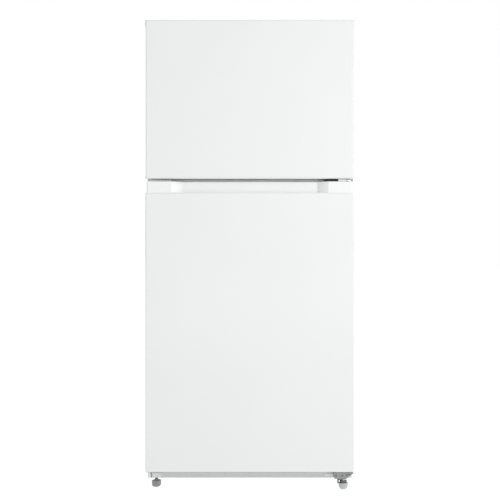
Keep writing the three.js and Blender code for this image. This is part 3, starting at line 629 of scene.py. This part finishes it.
def freezer_liner():
    ledges = [(z, 244.0) for z in (1300, 1400, 1500)]
    liner("freezer_liner", 318, 1172, 1642, ledges).stand_for("freezer_liner", LINER, smooth=30)


def panel_screws(name, spots, axis, radius=4.2, out=1):
    """The heads of screws, standing out from the cabinet along an axis."""
    form = Form()
    for spot in spots:
        form.screw(spot, axis, out, radius)
    form.piece(name, SCREW)


def back_panel():
    """The rear sheet with stiffening beads, a folded edge and two plugs where foam went in."""
    (x0, x1), (y0, y1), (z0, z1) = limits("back_panel")
    fold = (y1 - 0.2, y1 + 1.0)
    form = Form().box((x0, x1), (y0, y1), (z0, z1), 0.3, 1)
    for x in (-235, 0, 235):
        form.prism(rounded((x - 88, x + 88), (z0 + 90, z1 - 110), 22, 6), "y", (y1 - 0.4, y1 + 2.2), 1.6)
    for x in (x0 + 4, x1 - 4):
        form.box((x - 4, x + 4), fold, (z0, z1), 0.6, 2)
    form.box((x0, x1), fold, (z1 - 8, z1), 0.6, 2)
    form.box((x0, x1), fold, (z0 - 5, z0 + 7), 0.5, 2)
    form.stand_for("back_panel", ZINC)
    plugs = Form()
    for x in (-118, 118):
        plugs.turned([(15, 0), (15, 1.2), (12, 3), (6, 3.4), (0, 3.4)], (x, y1, z1 - 60), "y", 32)
    plugs.piece("foam_port_plugs", PALE)
    spots = [(side * 362, fold[1], z0 + 30 + i * 190) for side in (-1, 1) for i in range(8)]
    spots += [(x, fold[1], z1 - 9) for x in (-280, -140, 140, 280)]
    panel_screws("back_panel_screws", spots, "y")


def machine_cover():
    """The louvred cover at the back, with its hoods, screws and the mains inlet."""
    eased("machine_cover", ZINC, 0.8, 2)
    _, (_, back), _ = limits("machine_cover")
    hood = [(-1.2, 8.6), (0.2, 8.6), (2.6, 1.0), (2.6, -0.6), (1.6, -0.6), (1.4, 0.8), (-1.2, 7.4)]
    slots, lowest, pitch, half = 8, 86, 18.5, 108.5
    form = Form()
    for middle in (-150, 150):
        for i in range(slots):
            outline = offsets(back, lowest + i * pitch, *hood)
            form.prism(outline, "x", (middle - half, middle + half), 0.3)
    form.piece("machine_cover_hoods", ZINC)
    rim = back - 7.6
    spots = [(side * x, rim, z) for side in (-1, 1)
             for x, z in ((330, 90), (330, 230), (200, 252), (40, 252))]
    panel_screws("machine_cover_screws", spots, "y")
    inlet = Form().box((318, 348), (rim - 1, rim + 9), (140, 180), 2.2)
    inlet.box((314, 352), (rim - 0.5, rim + 2.5), (146, 174), 1.2)
    inlet.piece("mains_inlet_housing", BLACK)
    pins = Form()
    for x, z in ((333, 168), (326, 154), (340, 154)):
        pins.box((x - 1, x + 1), (rim + 8, rim + 11), (z - 3, z + 3), 0.4, 2)
    pins.piece("mains_inlet_pins", PLATED)


fridge_liner()
freezer_liner()
back_panel()
machine_cover()


# ---- base, hinges and feet ----
def base_rail():
    """A folded rail under the door, with a foot bracket, a rivet and a seam at its left end."""
    (x0, x1), (front, back), (z0, z1) = limits("base_rail")
    front += 2
    bend = z0 + 17
    section = [*offsets(front, z0, (0.4, 1.4), (1.4, 0.3)), (back, z0 + 0.3), (back, z0 + 1.8),
               *offsets(front, z0, (2.2, 1.8), (1.6, 2.6)), *offsets(front, bend, (1.6, 0.3), (3, 4)),
               *offsets(front, z1, (3, -1.6), (18, -1.6), (18, 0), (2, 0), (1.4, -1)),
               *offsets(front, bend, (1.4, 4), (0, 0))]
    Form().prism(section, "x", (x0, x1)).stand_for("base_rail", RAIL)
    bracket = offsets(x0, z0, (1, 1), (27, 1), (39, 10)) + offsets(x0, bend, (39, -1), (34, 1), (1, 1))
    plate = Form().prism(bracket, "y", (front - 2, front + 0.6), 0.8)
    plate.box((275, 307), (front - 1.4, front + 0.5), (z0 + 4.5, z0 + 14.5), 0.8)
    plate.piece("base_rail_bracket", BRACKET)
    path = [(x0 + u, front - 1, z0 + v) for u, v in ((-7, 30), (-5.5, 22), (-3.6, 12), (-3, 1))]
    Form().tube(path, 1.6, 8, 4).piece("base_rail_seam", KNOB)
    head = [(3.2, 0), (3.2, -1.2), (2, -2.2), (0, -2.2)]
    rivet = Form().turned(head, (x0 + 35, front - 2, z0 + 9), "y", 20)
    rivet.piece("base_rail_rivet", PLATED)


def hinge_arm(form, z, back, reach=15.0):
    """A flat arm with a round end about the doors' axis."""
    left, radius = 340.5, 15
    plan = [(AXIS.x + reach, back), (left, back)]
    plan += [(AXIS.x + reach * math.cos(a), AXIS.y + radius * math.sin(a)) for a in arc(180, 360, 15)]
    return form.prism(plan, "z", z, 0.5)


def mid_hinge():
    """The bracket between the doors: an arm with a turned front edge, and a pin in a dark bush."""
    _, (front, back), (low, high) = limits("mid_hinge")
    floor, roof = DOOR_GAP
    plate = (floor + 3, roof - 3)
    form = Form().box((294, 349), (back - 3, back), (floor - 10, roof + 11), 0.7)
    hinge_arm(form, plate, back - 0.2, 17.5)
    form.box((320.5, 350), (front, back - 1), plate, 0.8)
    form.box((320.5, 350), (front - 1, front + 1.4), (floor + 1.6, roof - 1.0), 0.7)
    form.box((362.3, 369.5), (AXIS.y - 8, AXIS.y - 2), (floor + 1.0, roof - 1.0), 0.7)
    form.stand_for("mid_hinge", BRIGHT)
    pin = Form().turned([(3.6, low), (4.5, low + 1.2), (4.5, high - 1.2), (3.6, high)], AXIS, "z", 32)
    pin.piece("mid_hinge_pin", STEEL)
    collar = [(5.6, floor + 0.7), (6.4, floor + 1.4), (6.4, roof - 1.4), (5.6, roof - 0.7)]
    bush = Form().turned(collar, AXIS, "z", 40)
    bush.box((370, 373.6), (AXIS.y - 6, AXIS.y - 1), (floor + 1.2, roof - 1.2), 0.6)
    bush.piece("mid_hinge_bush", BUSH)
    trim = Form().box((272.5, 319.5), (front + 2, back - 4), (floor + 1.8, roof - 1.8), 1.2)
    trim.box((296, 312), (front + 20, back - 0.5), (floor + 1.8, roof - 1.8), 0.8)
    trim.piece("mid_hinge_bumper", BLACK)


def bottom_hinge():
    """The stamped bracket that carries the doors, with its side leg, screws and pin."""
    _, (front, back), (_, high) = limits("bottom_hinge")
    shelf_z = (60, 64)
    lip = [(305, 52), (307, 48), (313, 47), (316, 49.5), (321, 49.5), (323, 46.5), (348, 46.5), (352, 49),
           (361, 57), (368, 60), (371, 65.5), (376, 66.5), (376, 69.5), (371, 71), (305, 71)]
    rear = [(306, 44), (345, 44), (366, 58), (371, 62), (371, 73.5), (306, 73.5)]
    form = Form().prism(lip, "y", (front, front + 2.5), 0.6)
    form.prism(rear, "y", (back - 3, back), 0.6)
    hinge_arm(form, shelf_z, back - 1)
    form.box((307, 345), (front + 1, back - 1), shelf_z, 0.7)
    form.prism([(front + 2, 60.5), (front + 2, 49), (front + 14, 60.5)], "x", (346, 349), 0.3)
    form.stand_for("bottom_hinge", STAMPED)
    side = [(-346, 62), (-318, 62), (-318, 30), (-328, 21), (-346, 27)]
    leg = Form().prism(side, "x", (321.3, 324.3), 0.5)
    leg.box((322.8, 328.6), (front + 3, front + 9), (42.5, 50), 1.2)
    leg.piece("bottom_hinge_leg", BLACK)
    screws = Form()
    for x, z, r in ((312.5, 59.5, 2.6), (335, 58.8, 2.4), (352, 61, 2.6), (361, 63.5, 2.4)):
        screws.screw((x, front, z), "y", -1, r)
    for x in (315, 337, 359):
        screws.screw((x, back - 3, 69), "y", -1, 3.6)
    screws.piece("bottom_hinge_screws", DARK_STEEL)
    pin = Form().turned([(4.5, 60), (4.5, high - 1.2), (3.6, high)], AXIS, "z", 32)
    pin.turned([(9, 64), (9, 66), (7, 67.5), (7, 75.5), (4.6, 75.5)], AXIS, "z", 32)
    pin.piece("bottom_hinge_pin", STEEL)


def top_hinge():
    eased("top_hinge", BRIGHT, 0.6)
    cover_top = limits("top_hinge_cover")[2][1]
    eased("top_hinge_cover", CAP, 2.0, 3)
    panel_screws("top_hinge_cover_screw", [(312, -262, cover_top - 0.4)], "z", 3.6)


AXIS = Vector((355.5, limits("mid_hinge")[1][0] + 15, 0))  # of the doors' hinges, in plan
DOOR_GAP = (limits("fridge_door_top_cap")[2][1], limits("freezer_door_bottom_cap")[2][0])
base_rail()
mid_hinge()
bottom_hinge()
top_hinge()


def square_with_cut_corners(angle):
    """Scales a circle into a square, turned a little, whose corners stop short."""
    angle += math.radians(20.5)
    return min(1 / max(abs(math.cos(angle)), abs(math.sin(angle))), 1.37)


def fluted(sides, depth):
    """Scales a circle into a serrated edge."""
    return lambda angle: 1 - depth * (0.5 + 0.5 * math.cos(sides * angle)) ** 3


def centre_of(node):
    """The middle of a node's footprint."""
    (x0, x1), (y0, y1), _ = limits(node)
    return Vector(((x0 + x1) / 2, (y0 + y1) / 2, 0))


def front_feet():
    """The left foot is a square knob on a neck; the right one a round cup under a serrated nut."""
    at = centre_of("front_foot_left")
    knob = [(8.4, 0), (9.4, 0.5), (12, 4.2), (12.5, 5.6), (13.2, 22), (12.8, 23.2), (7, 26), (5.6, 26.6)]
    form = Form().turned(knob, at, "z", 72, square_with_cut_corners)
    form.stand_for("front_foot_left", KNOB, smooth=20)
    stud = Form().turned([(5.6, 25.6), (5.6, 37.2), (4, 37.8), (4, 58)], at, "z", 24)
    stud.piece("front_foot_left_stud", DARK_STEEL, "foot_left")
    at = centre_of("front_foot_right")
    cup = [(5, 0), (8, 0.7), (11.6, 3), (14.2, 6.6), (15.7, 11), (16.3, 16), (16.3, 19.6), (16.8, 20.2),
           (16.8, 23.6), (16.1, 24.4), (10, 24.4)]
    Form().turned(cup, at, "z", 56).stand_for("front_foot_right", CUP, smooth=30)
    nut = [(12.4, 24.2), (12.8, 25), (12.8, 32.6), (12.2, 33.4)]
    form = Form().turned(nut, at, "z", 84, fluted(12, 0.12))
    form.turned([(4, 30), (4, 74)], at, "z", 24)
    form.piece("front_foot_right_nut", NUT, "foot_right")
    washer = Form().turned([(8.4, 33.2), (9.2, 33.8), (9.2, 37), (8.6, 37.8), (5, 37.8)], at, "z", 40)
    washer.piece("front_foot_right_washer", PLATED, "foot_right")


def rollers():
    """Webbed wheels, and the heads of the pins that carry them."""
    tread = [(3.5, -7.4), (6, -8), (8, -8), (9, -5.6), (15.6, -5.6), (16.4, -8), (19, -8), (20, -6.8),
             (20, 6.8), (19, 8), (16.4, 8), (15.6, 5.6), (9, 5.6), (8, 8), (6, 8), (3.5, 7.4)]
    for node in ("rear_roller_left", "rear_roller_right"):
        middle = [sum(ends) / 2 for ends in limits(node)]
        Form().turned(tread, middle, "x", 48).stand_for(node, DARK)
        pin = Form()
        for out in (-1, 1):
            head = [(5.4, 0), (5.4, out * 1.4), (4.2, out * 2.4), (0, out * 2.4)]
            pin.turned(head, (middle[0] + out * 12, middle[1], middle[2]), "x", 24)
        pin.piece(node + "_pin_heads", SCREW)


front_feet()
rollers()


# ---- machine compartment ----
def compressor():
    """A welded steel pot on rubber grommets, with its relay cover and stub pipes."""
    at = Vector((-150, 283, 0))
    pot = [(46, 60), (58, 62), (68, 70), (71.4, 82), (72, 96), (72, 132), (75, 133), (75.6, 136),
           (75.6, 140), (75, 142), (72, 143), (71.6, 164), (68, 180), (58, 193), (44, 200), (24, 204),
           (0, 205)]
    form = Form().turned(pot, at, "z", 56, lambda a: 1 + 0.02 * math.cos(2 * a))
    form.prism(rounded((at.x - 95, at.x + 95), (at.y - 60, at.y + 60), 16), "z", (58, 61.5), 0.8)
    form.stand_for("compressor", ENAMEL_BLACK)
    grommet = [(11, 46.6), (11, 50), (9, 51.5), (9, 56.5), (11.5, 57.6)]
    rubber, bolts = Form(), Form()
    for x in (-80, 80):
        for y in (-46, 46):
            spot = at + Vector((x, y, 0))
            rubber.turned(grommet, spot, "z", 24)
            bolts.screw(spot + Vector((0, 0, 61.5)), "z", 1, 6)
    rubber.piece("compressor_grommets", BLACK)
    bolts.piece("compressor_bolts", SCREW)
    Form().box((-76, -66), (258, 308), (100, 150), 4).piece("compressor_relay_cover", DARK)
    to_condenser = [(-150, 352, 110), (-150, 362, 112), (-120, 368, 150), (-60, 368, 190), (0, 366, 196),
                    (40, 330, 150), (70, 283, 66)]
    suction = [(-182, 346, 150), (-190, 358, 156), (-230, 362, 200), (-300, 340, 232), (-310, 300, 244)]
    filling = [(-120, 349, 120), (-112, 360, 122), (-104, 364, 140)]
    pipes = Form().tube(to_condenser, 3.2).tube(suction, 4.2).tube(filling, 3.0)
    pipes.piece("refrigerant_pipes", COPPER)


def condenser():
    """A tube folded back and forth, with wires welded across it and two straps."""
    low, turn, runs, left, right, y = 66, 12, 7, 75, 320, 283
    path = []
    for i in range(runs):
        z = low + i * 2 * turn
        start, end = (left, right) if i % 2 == 0 else (right, left)
        path += [(start, y, z), (end, y, z)]
        if i < runs - 1:
            out = 1 if end == right else -1
            path += [(end + out * turn * math.cos(a), y, z + turn + turn * math.sin(a))
                     for a in arc(-60, 60, 30)]
    form = Form().tube(path, 3.0, 12, 1)
    wires, bottom, top = 26, low - 4, low + (runs - 1) * 2 * turn + 4
    for i in range(wires):
        x = left + 4 + i * (right - left - 8) / (wires - 1)
        for across in (y - 3.6, y + 3.6):
            form.tube([(x, across, bottom), (x, across, top)], 0.8, 6, 1)
    for x in (130, 260):
        form.box((x, x + 3), (y - 6, y + 6), (46.6, 214), 0.6, 1)
    form.stand_for("condenser_coil", ENAMEL_BLACK)


def fan(node, finish, axis, centre, hub, tip, blades, depth):
    """A hub, bored for its shaft, with swept, twisted blades."""
    place = TO_AXIS[axis]
    end, bore = depth / 2, 2.7
    profile = [*offsets(hub, -end, (-4, 0), (0, 2)), *offsets(hub, end, (0, -4), (-3, 0)),
               (bore, end), (bore, 3 - end), (0, 3 - end)]
    form = Form().turned(profile, centre, axis, 32)
    sections, sweep = 6, 0.5
    for root in circle(blades):
        rings = []
        for k in range(sections + 1):
            t = k / sections
            r = hub - 2 + t * (tip - hub + 2)
            angle = root + sweep * t * t
            pitch, chord = math.radians(52 - 24 * t), (depth * 0.85) * (1 + 0.7 * t)
            ring = []
            for a in circle(12):
                along, off = 0.5 * chord * math.cos(a), 0.8 * math.sin(a) + 1.4 * (1 - math.cos(a) ** 2)
                side = along * math.cos(pitch) - off * math.sin(pitch)
                level = along * math.sin(pitch) + off * math.cos(pitch)
                u = r * math.cos(angle) - side * math.sin(angle)
                v = r * math.sin(angle) + side * math.cos(angle)
                ring.append(Vector(place(u, v, level * 0.8)) + Vector(centre))
            rings.append(ring)
        form.loft(rings)
    form.stand_for(node, finish)


def cooling():
    """Both fans, and the parts beside them."""
    eased("condenser_fan_bracket", DARK, 0.8)
    fan("condenser_fan", DARK, "x", (-12, 283, 125), 16, 56, 5, 18)
    fan("evaporator_fan", GREY, "y", (0, 272, 1490), 14, 46, 5, 16)
    eased("evaporator_fan_motor", DARK, 1.2)
    eased("evaporator", FIN, 0.0)


compressor()
condenser()
cooling()


# ---- moulded tubs: bins, crispers and the drain pan ----
def tub(node, wall=2.4, radius=16.0, draft=3.0, rim=1.6, foot=5.0):
    """An open tub: up its outside from a round foot, over a beaded rim and down its inside."""
    x, y, (low, high) = limits(node)

    def ring(inset, level):
        sides = (x[0] + inset, x[1] - inset), (y[0] + inset, y[1] - inset)
        return [(u, v, level) for u, v in rounded(*sides, max(radius - inset, 2.0), 6)]

    outside = [ring(draft + foot, low), ring(draft + foot * 0.3, low + foot * 0.3),
               ring(draft, low + foot), ring(rim, high - 7), ring(0.4, high - 6), ring(0, high - 5.4),
               ring(0, high - 0.8), ring(0.8, high)]
    deep, floor = draft + wall, low + wall
    inside = [ring(rim + wall - 0.8, high), ring(rim + wall, high - 0.8), ring(deep, floor + foot),
              ring(deep + foot * 0.3, floor + foot * 0.3), ring(deep + foot, floor)]
    return Form().loft(outside + inside)


def floor_ribs(form, node, half, height, margin):
    """Five ribs along the floor of a tub, from front to back."""
    (x0, x1), (y0, y1), (floor, _) = limits(node)
    for i in range(1, 6):
        x = x0 + (x1 - x0) * i / 6
        form.box((x - half, x + half), (y0 + margin, y1 - margin), (floor + 2, floor + height), 0.6, 2)


def door_bin(node):
    """A clear bin with a ribbed floor, and a pale band along the edge that faces the room."""
    (x0, x1), (_, y1), (_, z1) = limits(node)
    form = tub(node)
    floor_ribs(form, node, 1, 4.2, 12)
    form.stand_for(node, CRYSTAL)
    band = Form().box((x0 + 14, x1 - 14), (y1 - 2.2, y1 + 0.8), (z1 - 24, z1 - 1), 1.3)
    band.box((x0 + 60, x1 - 60), (y1 + 0.2, y1 + 2.2), (z1 - 15, z1 - 10), 0.9)
    band.piece(node + "_band", PALE, body_of(node))


def crisper(node):
    """A deep clear drawer with a ribbed floor and a full-width lip to pull it by."""
    (x0, x1), (front, _), (_, top) = limits(node)
    form = tub(node, 2.4, 22.0, 5.0)
    floor_ribs(form, node, 1.2, 4.6, 26)
    form.stand_for(node, CRYSTAL)
    lip = offsets(front, top, (1, 0), (1, -26), (3, -28), (5, -26), (5, -5), (14, -4), (15, -9),
                  (17, -9), (17, -1), (16, 0))
    grip = Form().prism(lip, "x", (x0 + 24, x1 - 24), 0.8)
    grip.piece(node + "_grip", PALE, body_of(node))


for node in ("freezer_door_bin_lower", "freezer_door_bin_upper", "fridge_door_bin_lower",
             "fridge_door_bin_middle", "dairy_bin"):
    door_bin(node)
for node in ("crisper_left", "crisper_right"):
    crisper(node)
tub("drain_pan", 2.0, 10.0).stand_for("drain_pan", PALE)


def dairy_lid():
    """A crowned clear lid on a round hinge bead, with a lip to lift it by."""
    (x0, x1), (y0, y1), (z0, _) = limits("dairy_lid")
    bead, (y, z) = 3.4, (y0 + 3.5, z0 + 3.5)
    section = [(y + bead * math.cos(a), z + bead * math.sin(a)) for a in arc(60, 300, 20)]
    top, low = z + 1, z - 1.4
    section += [(y1 - 4, low), (y1 - 1, low - 0.6), (y1, low + 0.4), (y1 - 0.6, top - 0.2),
                (y1 - 4, top + 0.4), ((y0 + y1) / 2, top + 0.8), (y + 6, top + 0.4)]
    Form().prism(section[::-1], "x", (x0, x1), 0.6).stand_for("dairy_lid", CRYSTAL)


dairy_lid()


# ---- shelves and the crisper cover ----
def shelf(name):
    """A tempered pane with ground edges in a bull-nosed front trim and a thin rear rail."""
    eased(name + "_glass", GLASS, 0.9, 3)
    (x0, x1), (y0, y1), (z0, z1) = limits(name + "_trim")
    _, (_, back), (under, over) = limits(name + "_glass")
    nose = [(y0 + 9 - 9 * math.sin(a), (z0 + z1) / 2 + ((z1 - z0) / 2) * math.cos(a))
            for a in arc(0, 180, 15)]
    slot = [(y0 + 22, z0), (y1, z0 + 4), (y1, under - 0.2), (y0 + 12, under - 0.2), (y0 + 12, over + 0.2),
            (y1, over + 0.2), (y1, over + 1.6), (y0 + 18, z1)]
    Form().prism(nose + slot, "x", (x0, x1), 0.8).stand_for(name + "_trim", TRIM, smooth=50)
    rail = [*offsets(back, under, (-9, -2), (0.8, -2)),
            *offsets(back, over, (0.8, 4), (-1, 4.6), (-2, 2), (-9, 1.6), (-9, 0.2), (0.1, 0.2)),
            *offsets(back, under, (0.1, -0.2), (-9, -0.2))]
    Form().prism(rail, "x", (x0 + 8, x1 - 8), 0.3).piece(name + "_rear_rail", TRIM)


for name in ("lower_shelf", "upper_shelf", "freezer_shelf"):
    shelf(name)


# ---- controls, duct and evaporator cover ----
def dial(node, centre, radius, out):
    """A fluted knob with a bar grip and a pointer line; out is how far it stands off."""
    x, y, z = centre
    skirt = offsets(radius, 0, (-4, -1), (0, -2.4), (0, -6), (-2, -8.5), (-6, -9)) + [(0, -9)]
    form = Form().turned(skirt, centre, "y", 72, fluted(24, 0.03))
    form.turned([(3.8, 8), (3.8, -2)], centre, "y", 20)
    form.box((x - 4, x + 4), (y - out, y - 8), (z - radius + 4, z + radius - 3), 1.8)
    form.stand_for(node, PALE)
    face = y - out
    mark = Form().box((x - 0.8, x + 0.8), (face - 0.25, face + 0.5), (z + 5, z + radius - 4.5), 0.2, 1)
    mark.piece(node + "_pointer", DARK, body_of(node))


def dial_scale(name, centre, face, radius):
    """Marks round a dial over its travel, longer at the ends and in the middle."""
    form = Form()
    x, _, z = centre
    travel, steps, near, half = 270, 8, radius + 3.5, 0.6
    for i in range(steps + 1):
        a = math.radians(90 + travel / 2 - i * travel / steps)
        far = near + (5.0 if i % 4 == 0 else 3.2)
        outline = [(x + u * math.cos(a) - w * math.sin(a), z + u * math.sin(a) + w * math.cos(a))
                   for u, w in ((near, -half), (far, -half), (far, half), (near, half))]
        form.prism(outline, "y", (face - 0.35, face + 0.3))
    form.piece(name, DARK)


def controls():
    """The control housing with its ribbed lamp lens, and both dials with their scales."""
    _, (front, _), (low, _) = limits("control_housing")
    eased("control_housing", LINER, 3.0, 4)
    lens = Form().box((-107, 17), (-147, -63), (low + 1, low + 5.6), 1.6)
    for x in range(-100, 13, 8):
        lens.box((x - 1.4, x + 1.4), (-143, -67), (low + 0.2, low + 2), 0.7, 2)
    lens.piece("lamp_lens", LENS)
    for part, centre, face, radius, out in (
        ("fridge", (80, -190, 1062), front, 22, 13),
        ("freezer", (-230, 246, 1470), 246, 20, 12),
    ):
        dial(part + "_temperature_knob", centre, radius, out)
        dial_scale(part + "_dial_scale", centre, face, radius)


def evaporator_cover():
    """The freezer's back cover, with a grille of rings and spokes over its fan."""
    eased("evaporator_cover", LINER, 2.0, 3)
    face = limits("evaporator_cover")[1][0]
    centre, hub = Vector((0, face + 1.6, 1490)), Vector((0, face + 2.4, 1490))
    section = ((-1, -1.4), (1, -1.4), (1.2, 1.4), (-1.2, 1.4))
    form = Form()
    for r in (14, 26, 38, 50):
        rings = []
        for a in circle(40):
            outward = Vector((math.cos(a), 0, math.sin(a)))
            rings.append([centre + outward * (r + u) + Vector((0, v, 0)) for u, v in section])
        form.loft(rings, closed=True)
    for i in range(6):
        a = math.pi * i / 6
        spoke = Vector((math.cos(a), 0, math.sin(a))) * 53
        form.tube([hub - spoke, hub + spoke], 1.3, 8, 1)
    form.piece("evaporator_cover_fan_grille", LINER)
    spots = [(x, face, z) for x in (-300, 300) for z in (1200, 1550)]
    panel_screws("evaporator_cover_screws", spots, "y", 3.6, out=-1)


def air_duct():
    """The duct up the fridge's back wall, with vanes in its outlets."""
    eased("air_duct", LINER, 3.0, 3)
    face = limits("air_duct")[1][0]
    form = Form()
    for z in (420, 620, 860, 960):
        for outlet in (-47.5, 47.5):
            for i in range(4):
                x = outlet - 20 + i * 13.4
                form.box((x - 0.8, x + 0.8), (face + 0.6, face + 4.6), (z, z + 12), 0.3, 1)
    form.piece("air_duct_vanes", LINER)


controls()
evaporator_cover()
air_duct()


# ---- carried-over nodes with eased edges ----
for node, finish, width in (
    ("cabinet_wrapper", SIDE, 1.5),
    # the mullion rail wears the whiter enamel with painted light
    ("mullion_rail", MULLION_LIGHTENED, 0.3),
    ("base_pan", ZINC, 0.4),
    ("crisper_cover_frame", TRIM, 1.4),
    ("crisper_cover_glass", GLASS, 0.8),
    ("humidity_slider_left", GREY, 1.2),
    ("humidity_slider_right", GREY, 1.2),
):
    eased(node, finish, width, 3)


def mullion_rib():
    """A rib on the rail, which closes the view into the gap between the doors, in the whiter enamel that
    paints light into the gap's shade.
    """
    floor, roof = DOOR_GAP[0] + 2.4, DOOR_GAP[1] - 2.4
    back = limits("mullion_rail")[1][0] + 0.5
    form = Form().box((-357, 270), (back - 24.5, back), (floor, roof), 1.4)
    form.box((-362, -284), (back - 40.5, back), (floor, roof + 1.4), 1.4)
    form.piece("mullion_rail_rib", MULLION_LIGHTENED)


mullion_rib()
wear(NODES["cabinet_foam"].data, FOAM)


# ---- the room, its light and the camera (in metres) ----
FLOOR_REACH, FLOOR_GLOW = 40.0, 0.95
SKY_LEVEL, SKY_SLOPE = 0.53, (0.15, 0.0, 0.22)  # brightness of the surroundings, and its rise
LIGHTS = (("key", (2.0, -2.3, 1.4), 1.2, 21.0), ("softbox", (0.2, -5.4, 1.0), 4.6, 52.0))
LIGHT_AIM = Vector((0, -0.39, 1.2))
CAMERA_DISTANCE, CAMERA_HEIGHT, CAMERA_X = 3.6, 0.876, 0.001
SENSOR, FOCAL_LENGTH = 36.0, 71.95  # mm


def ground():
    """A floor that glows nearly as white as the surroundings."""
    mesh = bpy.data.meshes.new("floor")
    corners = [(FLOOR_REACH * u, FLOOR_REACH * v, 0) for u, v in ((-1, -1), (1, -1), (1, 1), (-1, 1))]
    mesh.from_pydata(corners, [], [(0, 1, 2, 3)])
    floor = linked("floor", mesh)
    paint = Finish("floor_paint", (0.1, 0.1, 0.1), 0.8, Emission_Color=(1, 1, 1, 1),
                   Emission_Strength=FLOOR_GLOW)
    paint.bump(paint.noise(90.0), 0.02, 0.0005)
    mesh.materials.append(paint.material)


def surroundings():
    """White to the camera; dimmer as a light, and brighter from the right and above."""
    world = bpy.data.worlds.new("surroundings")
    bpy.context.scene.world = world
    world.use_nodes = True
    nodes, link = world.node_tree.nodes, world.node_tree.links.new
    sky = nodes["Background"]
    sky.inputs["Color"].default_value = (1, 1, 1, 1)
    slope = nodes.new("ShaderNodeVectorMath")
    slope.operation = "DOT_PRODUCT"
    slope.inputs[1].default_value = SKY_SLOPE
    link(nodes.new("ShaderNodeTexCoord").outputs["Generated"], slope.inputs[0])
    level = nodes.new("ShaderNodeMath")
    level.inputs[1].default_value = SKY_LEVEL
    link(slope.outputs["Value"], level.inputs[0])
    seen = nodes.new("ShaderNodeMath")
    seen.operation = "MAXIMUM"
    link(level.outputs["Value"], seen.inputs[0])
    link(nodes.new("ShaderNodeLightPath").outputs["Is Camera Ray"], seen.inputs[1])
    link(seen.outputs["Value"], sky.inputs["Strength"])


def lights():
    """A small lamp from the right, which shades the doors across, and a wide soft one."""
    for name, place, size, power in LIGHTS:
        light = bpy.data.lights.new(name, "AREA")
        light.size, light.energy = size, power
        lamp = linked(name, light)
        lamp.location = place
        lamp.rotation_euler = (LIGHT_AIM - Vector(place)).to_track_quat("-Z", "Y").to_euler()
        lamp.visible_camera = False


def camera():
    """Level with the middle of the doors, straight in front."""
    lens = bpy.data.cameras.new("camera")
    lens.sensor_width, lens.lens = SENSOR, FOCAL_LENGTH
    made = linked("camera", lens)
    made.location = (CAMERA_X, CAD_BOX[0].y - CAMERA_DISTANCE, CAMERA_HEIGHT)
    made.rotation_euler = (math.pi / 2, 0, 0)
    bpy.context.scene.camera = made


ground()
surroundings()
lights()
camera()
bpy.context.scene.view_settings.view_transform = "Standard"
